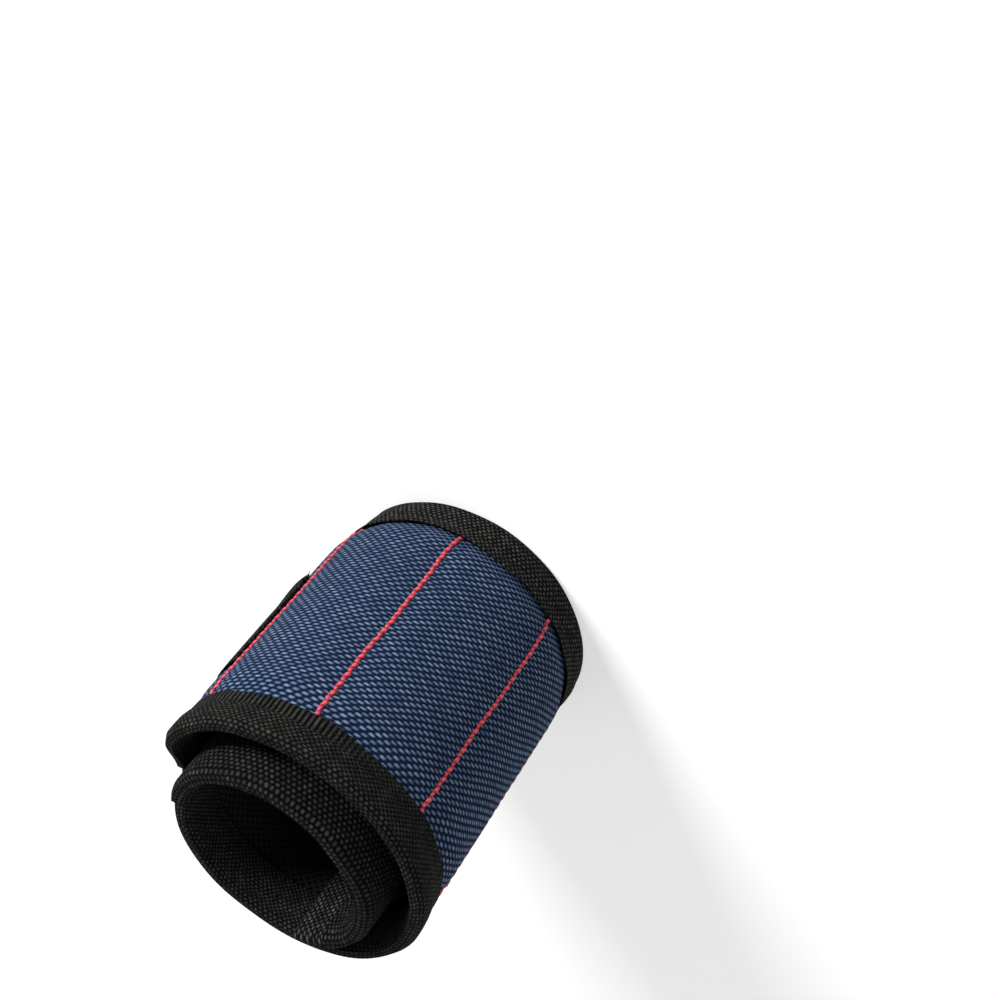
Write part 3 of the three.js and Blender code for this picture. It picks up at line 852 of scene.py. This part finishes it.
# For each stretch its start and end along the strip, its bodies and, between two, their fold
SPANS = {"cell_1": (0.0, float(MID_CELLS[0]), ("cell_1",), None)}
for number in range(1, CELL_COUNT):
    SPANS[f"row_{number}"] = (
        float(MID_CELLS[number - 1]), float(MID_CELLS[number]),
        (f"cell_{number}", f"cell_{number + 1}"), fold_reach(ROWS[number - 1], ROW_BEND),
    )
SPANS[LAST_ROW] = (float(MID_CELLS[-1]), MID_BACK, (LAST_CELL, "back"), fold_reach(ROWS[-1], ROW_BEND))
SPANS["tail_fold"] = (MID_BACK, AFTER_FOLD, ("back", "inner"), fold_reach(TAIL_FOLD, TAIL_BEND))
SPANS["inner"] = (AFTER_FOLD, BAND_LENGTH, ("inner",), None)


def between_end_tapes(start, end):
    """The part of a stretch that lies between the two end tapes."""
    inset = END_TAPE_WIDTH + END_GAP
    return max(start, inset), min(end, BAND_LENGTH - inset)


def carry(piece, bodies, fold=None):
    """A piece on one body rides on it; a piece across a fold has its place baked into its mesh and rides
    on neither body.
    """
    if fold is None:
        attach(piece, bodies[0])
    else:
        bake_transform(piece)


def fit(piece, stands_for, bodies, fold=None):
    """Hides the nodes that a piece stands for and says what carries it."""
    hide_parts(*stands_for)
    carry(piece, bodies, fold)


# Rim tapes

def groove(height):
    """The groove that a seam draws into a tape, from 0 to 1: a bell curve across the tape."""
    return np.exp(-((height - TAPE_WIDTH + GROOVE_INSET) / GROOVE_SPREAD) ** 2)


def tape_section(along, wave_edge, wave_fold, puff, foot):
    """The section of a rim tape, for a column of places along. The outer wall comes down from
    the tape's edge to foot, a rounded fold (a flattened ellipse, thinner than the padded
    strip) passes over the rim, and the inner wall goes back. Returns depth, height from the
    rim and distance across."""
    wall, inside = np.linspace(0, 1, OUTER_POINTS), np.linspace(0, 1, INNER_POINTS)
    on_inner_turn = inner_share(along)
    thickness = thickness_at(along)
    near = mix(0.0, INNER_NEAR, on_inner_turn)
    far = thickness - mix(OUTER_FAR, INNER_FAR, on_inner_turn)
    outer_height = mix(TAPE_WIDTH, foot, wall) + wave_edge * (1 - wall) ** 2
    inner_height = mix(foot, TAPE_WIDTH, inside) + 0 * along
    turn = np.linspace(0, math.pi, FOLD_POINTS)[1:-1]
    bulge = np.sign(np.cos(turn)) * np.abs(np.cos(turn)) ** FOLD_POWER
    fold_depth = (near + far) / 2 - (far - near) / 2 * bulge
    fold_height = foot - (foot - wave_fold) * np.sin(turn) ** FOLD_POWER
    held_full = TAPE_WIDTH - HELD_INSET
    held = ease(held_full - HELD_RUN, held_full, outer_height)
    outer_depth = mix(near, TAPE_SEAT, held) + GROOVE_DEPTH * groove(outer_height)
    outer_depth = outer_depth - puff * np.sin(math.pi * wall) ** 2 * (1 - held)
    inner_held = ease(foot, foot + INNER_HELD_RUN, inner_height)
    inner_depth = mix(far, thickness - TAPE_SEAT, inner_held)
    inner_depth = inner_depth - INNER_GROOVE_DEPTH * groove(inner_height)
    depth = np.concatenate([outer_depth, fold_depth, inner_depth], axis=1)
    height = np.concatenate([outer_height, fold_height, inner_height], axis=1)
    steps = np.hypot(np.diff(depth, axis=1), np.diff(height, axis=1)).mean(axis=0)
    return depth, height, np.concatenate([[0.0], np.cumsum(steps)])


def tape_relief(along, across, from_edge, pitch, sink, ribbed):
    """How the threads of a rim tape lie below its face, from -sink to 0: the woven relief
    and, near the edges of the ribbed tape, half of one plus a sine along it."""
    relief = sink * (woven_relief(along, across, pitch) - 1)
    if ribbed:
        ribs = 0.5 + 0.5 * np.sin(2 * math.pi * along / RIB_PITCH)
        share = ease(RIB_REACH + RIB_SPREAD, RIB_REACH, from_edge) * ease(RIB_END, RIB_START, along)
        relief = mix(relief, sink * (ribs - 1), share)
    return relief


def rim_tape(name, start, end, upper, on_inner_turn):
    """A tape folded over one rim: a ring of points for each place along, the section outside
    and a plain copy of it inside, a skin away, measured square to the section. Its edge, its
    fold and the wall between them wave slowly, each by a few sine waves."""
    foot, lowest = (UPPER_FOOT, UPPER_FOLD) if upper else (RIM_FOOT, LOWER_FOLD)
    pitch, sink = (TAPE_PITCH, TAPE_RELIEF) if upper else (LOWER_TAPE_PITCH, COARSE_RELIEF)
    material = RIBBED_TAPE if upper else TAPE
    if on_inner_turn:
        foot, lowest, pitch, material = RIM_FOOT, INNER_FOLD, INNER_TAPE_PITCH, INNER_TAPE
    along = even(start, end, TAPE_STEP)[:, None]
    seed = 1.7 if upper else 0.0
    wave_edge = 0.22 * np.sin(along / 5.3 + seed) + 0.13 * np.sin(along / 2.3 + 2 * seed)
    wave_edge = wave_edge + 0.1 * np.sin(2 * math.pi * along / RIB_PITCH)
    wave_fold = lowest + 0.10 * np.sin(along / 7.1 + seed) + 0.06 * np.sin(along / 3.1 + 0.7)
    puff = 0.22 + 0.16 * np.sin(along / 6.1 + 2.4 * seed) + 0.08 * np.sin(along / 2.7 + seed)
    depth, height, across = tape_section(along, wave_edge, wave_fold, puff, foot)
    slope_depth, slope_height = np.gradient(depth, axis=1), np.gradient(height, axis=1)
    size = np.hypot(slope_depth, slope_height)
    square_depth, square_height = slope_height / size, -slope_depth / size
    from_edge = np.minimum(across, across[-1] - across)
    places = drifted(along, across[None, :], seed)
    relief = tape_relief(*places, from_edge, pitch, sink, ribbed=upper and not on_inner_turn)
    skin = mix(TAPE_SKIN, FOLD_SKIN, np.sin(math.pi * from_edge / across[-1]))
    few = np.round(np.linspace(len(across) - 1, 0, BACK_POINTS)).astype(int)
    inside_depth = (depth + square_depth * skin)[:, few]
    inside_height = (height + square_height * skin)[:, few]
    depth = np.concatenate([depth - square_depth * relief, inside_depth], axis=1)
    height = np.concatenate([height - square_height * relief, inside_height], axis=1)
    if upper:
        height = BAND_WIDTH - height
    points = carried(STRIP, along, depth, height)
    marks = [np.concatenate([place, place[:, few]], axis=1) for place in places]
    marks = np.stack(marks, axis=-1) * METRE
    return ring_piece(name, points, marks, material, turned=not upper)


def dress_rims(span, start, end, bodies, fold):
    """Both rim tapes of a stretch. The upper tape of the outer turn is the narrow one."""
    on_inner_turn = start >= AFTER_FOLD
    for rim in ("lower", "upper"):
        upper = rim == "upper"
        tape = rim_tape(f"{rim}_tape_{span}", start, end, upper, on_inner_turn)
        fit(tape, [f"{body}_{rim}_binding" for body in bodies], bodies, fold)


# Covers and linings

def strip_cloth(name, start, end, depth_of, thickness, material, outward):
    """A layer of cloth over a stretch of the strip, from just inside one rim tape to just
    inside the other; its face lies at the depth that depth_of gives."""
    along = even(start, end, CLOTH_STEP)
    height = even(CLOTH_FOOT, BAND_WIDTH - CLOTH_FOOT, CLOTH_RISE)
    grid_along, grid_height = np.meshgrid(along, height, indexing="ij")
    face = depth_of(grid_along, grid_height)
    near, far = (face, face + thickness) if outward else (face - thickness, face)
    outer = carried(STRIP, grid_along, near, grid_height)
    inner = carried(STRIP, grid_along, far, grid_height)
    marks = np.stack(drifted(grid_along, grid_height), axis=-1) * METRE
    points, faces, marks = closed_sheet(outer, inner, marks)
    return new_piece(name, points, faces, marks, material)


def dress_outside(span, start, end, bodies, fold):
    """The covers of a stretch: navy nylon over the cells, loop cloth over the tail. The last
    row's stretch has both, and is cut at the row."""
    cuts = [start, float(ROWS[-1]), end] if span == LAST_ROW else [start, end]
    for cut_start, cut_end in zip(cuts[:-1], cuts[1:]):
        over_cells = cut_end <= ROWS[-1]
        if over_cells:
            finish, material, slot = "navy", NAVY, "navy_nylon"
        else:
            finish, material, slot = "loop", LOOP, "loop_cloth"
        cover = strip_cloth(
            f"{finish}_cover_{span}", cut_start, cut_end, cover_depth, COVER_THICKNESS, material, True,
        )
        under = [body for body in bodies if body.startswith("cell") == over_cells]
        fit(cover, [f"{body}_cover" for body in under], bodies, fold)


def dress_inside(span, start, end, bodies, fold):
    """The lining of a stretch."""
    lining = strip_cloth(
        f"lining_{span}", start, end, lining_depth, LINING_THICKNESS, LINING, False,
    )
    fit(lining, [f"{body}_lining" for body in bodies], bodies, fold)


for span, (start, end, bodies, fold) in SPANS.items():
    cloth_start, cloth_end = max(start, SEAT_DEPTH), min(end, BAND_LENGTH - SEAT_DEPTH)
    dress_outside(span, cloth_start, cloth_end, bodies, fold)
    dress_inside(span, cloth_start, cloth_end, bodies, fold)
    dress_rims(span, *between_end_tapes(start, end), bodies, fold)


# Tapes over the strip's ends

def end_tape(name, at_start, body, node):
    """Tape folded over an end of the strip: a wall outside, a rounded fold past the end and
    a wall inside, drawn together at both rims by a quarter ellipse."""
    top = BAND_WIDTH - (OUTER_END_DROP if at_start else 0.0)
    corner = END_CORNER * (1 - np.cos(np.linspace(0, math.pi / 2, END_CORNER_POINTS)))
    between = even(END_CORNER, top - END_CORNER, END_STEP)[1:-1]
    height = np.concatenate([corner, between, top - corner[::-1]])
    thickness = CELL_THICKNESS if at_start else TAIL_THICKNESS
    half = thickness / 2
    wall = np.linspace(0, 1, END_WALL_POINTS)
    turn = np.linspace(-math.pi / 2, math.pi / 2, END_FOLD_POINTS)[1:-1]
    reach = np.concatenate([
        mix(END_TAPE_WIDTH, END_FOLD, wall),
        END_FOLD * (1 - np.cos(turn) ** FOLD_POWER),
        mix(END_FOLD, END_TAPE_WIDTH, wall),
    ])
    across_fold = np.sign(turn) * np.abs(np.sin(turn)) ** FOLD_POWER
    side = np.concatenate([-np.ones_like(wall), across_fold, np.ones_like(wall)])
    held = ease(END_TAPE_WIDTH - END_HELD_START, END_TAPE_WIDTH - END_HELD_FULL, reach)
    into = np.clip(np.minimum(height, top - height) / END_CORNER, 0, 1)[:, None]
    drawn = np.sqrt(np.clip(1 - (1 - into) ** 2, 0, 1))

    def layer(skin):
        """The tape's outer face, or its inner face a skin away."""
        spread = (half - TAPE_SEAT * held - skin) * drawn
        depth = half + side * spread
        place = reach + skin * np.maximum(0, 1 - reach / END_FOLD) + 0 * into
        inset = mix(skin, 0.0, into)
        lifted = height[:, None] + np.where(height[:, None] < MIDDLE, inset, -inset)
        return carried(STRIP, place if at_start else BAND_LENGTH - place, depth, lifted)

    across = np.concatenate([[0.0], np.cumsum(np.hypot(np.diff(reach), np.diff(side * half)))])
    marks = np.stack(np.broadcast_arrays(height[:, None], across[None, :]), axis=-1) * METRE
    points, faces, marks = closed_sheet(layer(0.0), layer(END_SKIN), marks, turned=not at_start)
    tape = new_piece(name, points, faces, marks, TAPE)
    fit(tape, [node], [body])


end_tape("outer_end_tape", True, "cell_1", "outer_end_binding")
end_tape("inner_end_tape", False, "inner", "inner_end_binding")


# Foam and magnets

def foam_pad(panel, start, end, magnets):
    """The foam of a panel: its outer face follows the cover and its inner face the lining,
    with a square pocket for each magnet let into the outer face."""
    along = even(start, end, FOAM_STEP)
    height = even(TAPE_WIDTH + PAD_GAP, BAND_WIDTH - TAPE_WIDTH - PAD_GAP, FOAM_STEP)
    half_width, half_height = MAGNET_SIZE / 2 + SEAM_GAP, MAGNET_HEIGHT / 2 + SEAM_GAP
    middle = ((END_TAPE_WIDTH if panel == "cell_1" else start) + end) / 2
    centres = MIDDLE + MAGNET_PITCH * np.array([-1, 0, 1])
    if magnets:
        sides = np.array([middle - half_width, middle + half_width])
        along = np.unique(np.concatenate([along, sides - POCKET_EDGE, sides + POCKET_EDGE]))
        ends = np.concatenate([centres - half_height, centres + half_height])
        height = np.unique(np.concatenate([height, ends - POCKET_EDGE, ends + POCKET_EDGE]))
    grid_along, grid_height = np.meshgrid(along, height, indexing="ij")
    near = cover_depth(grid_along, grid_height) + COVER_THICKNESS + SEAM_GAP
    far = lining_depth(grid_along, grid_height) - LINING_THICKNESS - SEAM_GAP
    if magnets:
        beside = np.abs(grid_along - middle) < half_width
        level = np.min(np.abs(grid_height[..., None] - centres), axis=-1) < half_height
        floor = SEAT_DEPTH - CELL_CROWN + COVER_THICKNESS + SEAM_GAP
        floor = floor + MAGNET_COVERING + MAGNET_THICKNESS + SEAM_GAP
        near = np.where(beside & level, np.minimum(floor, far - LEAST_FOAM), near)
    near = np.minimum(near, far - LEAST_FOAM)
    outer = carried(STRIP, grid_along, near, grid_height)
    inner = carried(STRIP, grid_along, far, grid_height)
    marks = np.stack([grid_along, grid_height], axis=-1) * METRE
    points, faces, marks = closed_sheet(outer, inner, marks)
    pad = new_piece(f"{panel}_foam", points, faces, marks, FOAM)
    fit(pad, [f"{panel}_pad"], [panel])


for number in range(1, CELL_COUNT + 1):
    pad_start = CELL_PITCH * (number - 1) + PAD_GAP + (END_TAPE_WIDTH if number == 1 else 0.0)
    foam_pad(f"cell_{number}", pad_start, CELL_PITCH * number - PAD_GAP, True)
foam_pad("back", ROWS[-1] + PAD_GAP, TAIL_FOLD - PAD_GAP, False)
foam_pad("inner", TAIL_FOLD + PAD_GAP, BAND_LENGTH - END_TAPE_WIDTH - PAD_GAP, False)
for name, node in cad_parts.items():
    if name.endswith("_magnet"):
        node.data.materials.clear()
        node.data.materials.append(NICKEL)


# Stitches

def stitches(name, line, starts, ends, material, radius, sink, slant=0.1, around=6, steps=6):
    """Rows of single stitches, each from a start to an end given as along, depth and height.
    A stitch is a capsule: its radius is the square root of 1 less the fifth power of the
    distance from its middle, down to a small flat end. Its centre dives below the cloth at
    both ends by sink, and it leans across the row by slant."""
    starts, ends = np.asarray(starts, float), np.asarray(ends, float)
    share = (1 - np.cos(np.linspace(0, math.pi, steps))) / 2
    from_middle = np.abs(2 * share - 1)
    measure = starts[:, None, :] + (ends - starts)[:, None, :] * share[None, :, None]
    depth = measure[..., 1] + sink * from_middle ** 3
    run = ends - starts
    flat = np.hypot(run[:, 0], run[:, 2])
    off_along, off_height = run[:, 2] / flat, -run[:, 0] / flat
    lean = slant * (share - 0.5)[None, :]
    along = measure[..., 0] + off_along[:, None] * lean
    height = measure[..., 2] + off_height[:, None] * lean
    centres = carried(line, along, depth, height)
    outward = carried(line, along, depth - 1.0, height) - centres
    outward /= np.linalg.norm(outward, axis=-1, keepdims=True)
    forward = np.gradient(centres, axis=1)
    forward /= np.linalg.norm(forward, axis=-1, keepdims=True)
    sideways = np.cross(forward, outward)
    fat = radius * METRE * np.sqrt(np.maximum(STITCH_END, 1 - from_middle ** 5))
    fat = np.broadcast_to(fat, along.shape)
    points = tube_points(centres, sideways, outward, fat, fat * STITCH_FLATNESS, around)
    faces = tube_faces(len(starts), steps, around)
    turn = np.linspace(0, 2 * math.pi, around, endpoint=False)
    length = np.linalg.norm(ends - starts, axis=1) * METRE
    along_stitch = (length[:, None] * share[None, :])[..., None]
    marks = np.stack(np.broadcast_arrays(along_stitch, turn[None, None, :]), axis=-1)
    return new_piece(name, points.reshape(-1, 3), faces, marks.reshape(-1, 2), material, sharp=180.0)


def row_stitches(number):
    """The thick red stitches of one row on the cover and the thin black ones on the lining,
    from tape to tape. The row wanders by two slow sine waves."""
    row = ROWS[number - 1]
    _, _, bodies, fold = SPANS[f"row_{number}"]
    length = BAND_WIDTH - 2 * TAPE_WIDTH + 2 * ROW_UNDER_TAPE
    count = int(round(length / STITCH_PITCH))
    pitch = length / count
    low = TAPE_WIDTH - ROW_UNDER_TAPE + pitch * np.arange(count)
    sway = 0.18 * np.sin(low / 7.0 + number) + 0.1 * np.sin(low / 2.9 + 2 * number)
    for side, towards, depth_of, thread, radius in (
        ("outer", 1, cover_depth, RED_THREAD, ROW_RADIUS),
        ("inner", -1, lining_depth, BLACK_THREAD, LINING_RADIUS),
    ):
        top = depth_of(row + sway, low + pitch / 2) - towards * STITCH_RISE
        starts = np.stack([row + sway, top, low - STITCH_LAP], axis=1)
        ends = np.stack([row + np.roll(sway, -1), top, low + pitch + STITCH_LAP], axis=1)
        ends[-1, 0] = starts[-1, 0]
        piece = stitches(
            f"row_{number}_{side}_stitches", STRIP, starts, ends, thread,
            radius=radius, sink=STITCH_SINK * towards, slant=STITCH_LEAN, around=8, steps=13,
        )
        carry(piece, bodies, fold)


def seam_stitches(rim, span, start, end, bodies, fold):
    """The black stitching that holds a rim tape, in a groove near the tape's edge."""
    places = np.linspace(start, end, int(round((end - start) / SEAM_PITCH)) + 1)
    height = TAPE_WIDTH - SEAM_INSET + 0.12 * np.sin(places / 9.1)
    height = BAND_WIDTH - height if rim == "upper" else height
    points = np.stack([places, np.full_like(places, SEAM_DEPTH), height], axis=1)
    gap = np.array([SEAM_STITCH_GAP, 0.0, 0.0])
    piece = stitches(
        f"{rim}_seam_{span}", STRIP, points[:-1] + gap, points[1:] - gap, BLACK_THREAD,
        radius=SEAM_RADIUS, sink=SEAM_SINK, slant=0.12,
    )
    carry(piece, bodies, fold)


for number in range(1, CELL_COUNT + 1):
    row_stitches(number)
for span, (start, end, bodies, fold) in SPANS.items():
    for rim in ("lower", "upper"):
        seam_stitches(rim, span, *between_end_tapes(start, end), bodies, fold)


# The strap

def strap_half(along, half):
    """Half the strap's width: the free end has corners rounded by a quarter circle."""
    into = np.maximum(0, along - (STRAP_END - STRAP_CORNER))
    return half - (STRAP_CORNER - np.sqrt(np.maximum(0, STRAP_CORNER ** 2 - into ** 2)))


def strap_dip(along, height):
    """How far the strap lies below its line. Over the first cell it rests on the cover, down
    into the row's valley at its root; its lower corner there stands off a little. Beyond the
    cell it is back on its line."""
    cell_along = CELL_PITCH - along
    cover = cover_depth(cell_along, height) + drawn_in(cell_along, height)
    resting = cover + (CELL_CROWN - SEAT_DEPTH + SEAM_GAP) - REST_GAP
    low_corner = ease(STRAP_LOW + LIFT_REACH, STRAP_LOW, height)
    lifted = STRAP_LIFT * low_corner * ease(0.0, LIFT_RUN, along)
    return (resting - lifted) * ease(CELL_PITCH - REST_START, CELL_PITCH - REST_FULL, along)


def strap_layer(name, start, end, near, far, half, material, node, root=False):
    """A flat layer on the strap's line, with softly rounded long edges, thinner towards its
    root, and, where it is the sewn root, a cut edge that wanders by crossed sine waves."""
    along = np.unique(np.concatenate([
        even(start, end - STRAP_CORNER, STRAP_STEP),
        end - STRAP_CORNER * (1 - np.sin(np.linspace(0, math.pi / 2, STRAP_CORNER_POINTS))),
    ]))[:, None]
    across = np.sin(np.linspace(-math.pi / 2, math.pi / 2, STRAP_POINTS))
    height = STRAP_MIDDLE + across * strap_half(along + STRAP_END - end, half)
    place = along + 0 * height
    if root:
        cut = CUT_WANDER * np.sin(height * 2.1) * np.sin(height * 0.83 + 1.0)
        cut = cut + CUT_CORNER * ease(STRAP_LOW + CUT_CORNER_REACH, STRAP_LOW, height)
        place = place + (cut + CUT_SETBACK) * ease(CUT_RUN, 0.0, place - start)
        height = height + EDGE_WANDER * np.sin(place * 2.6) * np.abs(across) ** EDGE_SHARPNESS
    edge = 1 - np.abs(across) ** ROUND_SHARPNESS
    middle = (near + far) / 2
    dip = strap_dip(place, height)
    upper_side = ease(STRAP_LOW + LIFT_REACH, STRAP_LOW + STRAP_WIDTH - SIDE_INSET, height)
    upper_root = upper_side * ease(SIDE_THIN_END, SIDE_THIN_START, place)
    from_root = ease(ROOT_THIN_START, ROOT_THIN_END, place)
    thinner = mix(ROOT_THINNESS, 1.0, from_root) * mix(1.0, SIDE_THINNESS, upper_root)
    face = far + (middle - far) * thinner + (near - middle) * thinner * edge
    outer = carried(STRAP, place, face + dip, height)
    inner = carried(STRAP, place, middle + (far - middle) * edge + dip, height)
    marks = np.stack([place, height], axis=-1) * METRE
    points, faces, marks = closed_sheet(outer, inner, marks, turned=True)
    piece = new_piece(name, points, faces, marks, material)
    fit(piece, [node], ["strap"])
    return piece


webbing = strap_layer(
    "strap_webbing_piece", STRAP_START, STRAP_END, near=-STRAP_THICKNESS, far=-0.02,
    half=STRAP_WIDTH / 2, material=STRAP_CLOTH, node="strap_webbing", root=True,
)
hook = strap_layer(
    "hook_tape_piece", STRAP_END - HOOK_LENGTH, STRAP_END - HOOK_EDGE, near=HOOK_NEAR, far=HOOK_FAR,
    half=STRAP_WIDTH / 2 - HOOK_EDGE, material=HOOK_CLOTH, node="hook_tape",
)


def frayed_threads():
    """Loose thread ends at the cut root of the strap: each a thin capsule that runs out of
    the cut towards the row, more and longer at the lower corner. Their lengths and leans
    come from the fraction left of a large multiple of a sine."""
    number = np.arange(FRAY_COUNT)
    height = STRAP_LOW + STRAP_WIDTH * ((number + 0.5) / FRAY_COUNT) ** FRAY_CROWDING
    chance = np.sin(number * 12.9898) * 43758.5453
    chance = chance - np.floor(chance)
    dip = strap_dip(1.0, height) - FRAY_LEVEL
    starts = np.stack([np.full_like(height, FRAY_START), dip, height], axis=1)
    from_corner = ease(STRAP_LOW, STRAP_LOW + FRAY_CORNER_REACH, height)
    length = mix(FRAY_SHORTEST, FRAY_LONGEST, chance) * mix(FRAY_CORNER, 1.0, from_corner)
    ends = np.stack([
        np.maximum(FRAY_START - length, FRAY_FARTHEST),
        dip + mix(-FRAY_RISE, 0.0, chance),
        height + mix(-FRAY_LEAN, FRAY_LEAN, (chance * 7.31) % 1),
    ], axis=1)
    threads = stitches(
        "strap_frayed_threads", STRAP, starts, ends, BLACK_THREAD, radius=FRAY_RADIUS, sink=0.0, slant=0.0,
    )
    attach(threads, "strap")


def hook_stitches():
    """Black stitching round the hook tape, seen on the strap's outer face: a rectangle of
    stitches that stops short of the rounded corners."""
    low, high = STRAP_LOW + HOOK_STITCH_INSET, STRAP_LOW + STRAP_WIDTH - HOOK_STITCH_INSET
    left, right = STRAP_END - HOOK_LENGTH + HOOK_STITCH_START, STRAP_END - HOOK_STITCH_INSET
    corners = np.array([[left, low], [right, low], [right, high], [left, high], [left, low]])
    starts, ends = [], []
    for first, last in zip(corners[:-1], corners[1:]):
        count = int(round(np.abs(last - first).sum() / SEAM_PITCH))
        run = first + (last - first) * np.linspace(0, 1, count + 1)[:, None]
        starts.append(run[:-1] * (1 - HOOK_STITCH_GAP) + run[1:] * HOOK_STITCH_GAP)
        ends.append(run[:-1] * HOOK_STITCH_GAP + run[1:] * (1 - HOOK_STITCH_GAP))
    depth = -STRAP_THICKNESS - HOOK_STITCH_RISE
    starts, ends = (
        np.insert(np.concatenate(places), 1, depth, axis=1) for places in (starts, ends)
    )
    piece = stitches(
        "strap_hook_stitches", STRAP, starts, ends, BLACK_THREAD, radius=HOOK_RADIUS, sink=SEAM_SINK,
    )
    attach(piece, "strap")


frayed_threads()
hook_stitches()


# Floor, light and camera

def seen_directly(nodes):
    """1 for what the camera sees, also by gloss and through glass; 0 for other rays."""
    path = nodes.wires("ShaderNodeLightPath")
    by_gloss_or_glass = path["Is Glossy Ray"].at_least(path["Is Transmission Ray"])
    return path["Is Camera Ray"].at_least(by_gloss_or_glass)


def lay_floor():
    """A wide pale floor that a camera sees as white and that keeps the object's shadow."""
    mesh = bpy.data.meshes.new("floor")
    corners = [(-FLOOR_REACH, -FLOOR_REACH, 0), (FLOOR_REACH, -FLOOR_REACH, 0),
               (FLOOR_REACH, FLOOR_REACH, 0), (-FLOOR_REACH, FLOOR_REACH, 0)]
    mesh.from_pydata(corners, [], [(0, 1, 2, 3)])
    floor = bpy.data.objects.new("floor", mesh)
    bpy.context.scene.collection.objects.link(floor)
    made, nodes, shader = start_material("floor", 0.9)
    nodes.join(FLOOR_GREY, shader.inputs["Base Color"])
    nodes.join(WHITE, shader.inputs["Emission Color"])
    nodes.join(seen_directly(nodes) * 0.5, shader.inputs["Emission Strength"])
    mesh.materials.append(made)


def hang_lamp(name, place, size, power):
    """A square soft lamp, aimed at the middle of the band; place and size are in metres."""
    lamp = bpy.data.lights.new(name, "AREA")
    lamp.size, lamp.energy = size, power
    holder = bpy.data.objects.new(name, lamp)
    holder.location = place
    aim = Vector((0, 0, MIDDLE * METRE)) - Vector(place)
    holder.rotation_euler = aim.to_track_quat("-Z", "Y").to_euler()
    bpy.context.scene.collection.objects.link(holder)


def make_sky():
    """An even sky, white where it is seen and much weaker where it lights."""
    sky = bpy.data.worlds.new("sky")
    sky.use_nodes = True
    sky.node_tree.nodes.clear()
    nodes = Wiring(sky.node_tree)
    strength = seen_directly(nodes) * (1.0 - SKY_LIGHT) + SKY_LIGHT
    background = nodes.wire(0, "ShaderNodeBackground", ("Color", WHITE), ("Strength", strength))
    nodes.node("ShaderNodeOutputWorld", (0, background))
    bpy.context.scene.world = sky


def set_camera():
    """The photograph's view: turned about the wrist, looking down, and rolled on its side.
    The camera stands back from its aim, against the direction it looks in."""
    turn, down, roll = (math.radians(angle) for angle in (CAMERA_TURN, CAMERA_DOWN, CAMERA_ROLL))
    aim = Vector((CAMERA_AIM_X + WRAP_CENTRE[0], WRAP_CENTRE[1], CAMERA_AIM_Z))
    toward = Vector((
        -math.sin(turn) * math.cos(down), math.cos(turn) * math.cos(down), -math.sin(down),
    ))
    level = Vector((math.cos(turn), math.sin(turn), 0))
    above = level.cross(toward)
    right = level * math.cos(roll) - above * math.sin(roll)
    up = level * math.sin(roll) + above * math.cos(roll)
    place = Matrix((right, up, -toward)).transposed().to_4x4()
    place.translation = (aim - toward * CAMERA_DISTANCE) * METRE
    lens = bpy.data.cameras.new("camera")
    lens.sensor_width, lens.lens = CAMERA_SENSOR, CAMERA_LENS
    lens.clip_start, lens.clip_end = NEAREST, FARTHEST
    camera = bpy.data.objects.new("camera", lens)
    camera.matrix_world = place
    bpy.context.scene.collection.objects.link(camera)
    bpy.context.scene.camera = camera


lay_floor()
hang_lamp("key", place=(1.16, -0.2, 0.5), size=0.35, power=23.0)
hang_lamp("fill", place=(-0.9, -0.7, 0.75), size=1.2, power=6.5)
hang_lamp("back", place=(0.2, 1.0, 1.1), size=1.0, power=3.0)
make_sky()
set_camera()
bpy.context.scene.view_settings.view_transform = "Standard"
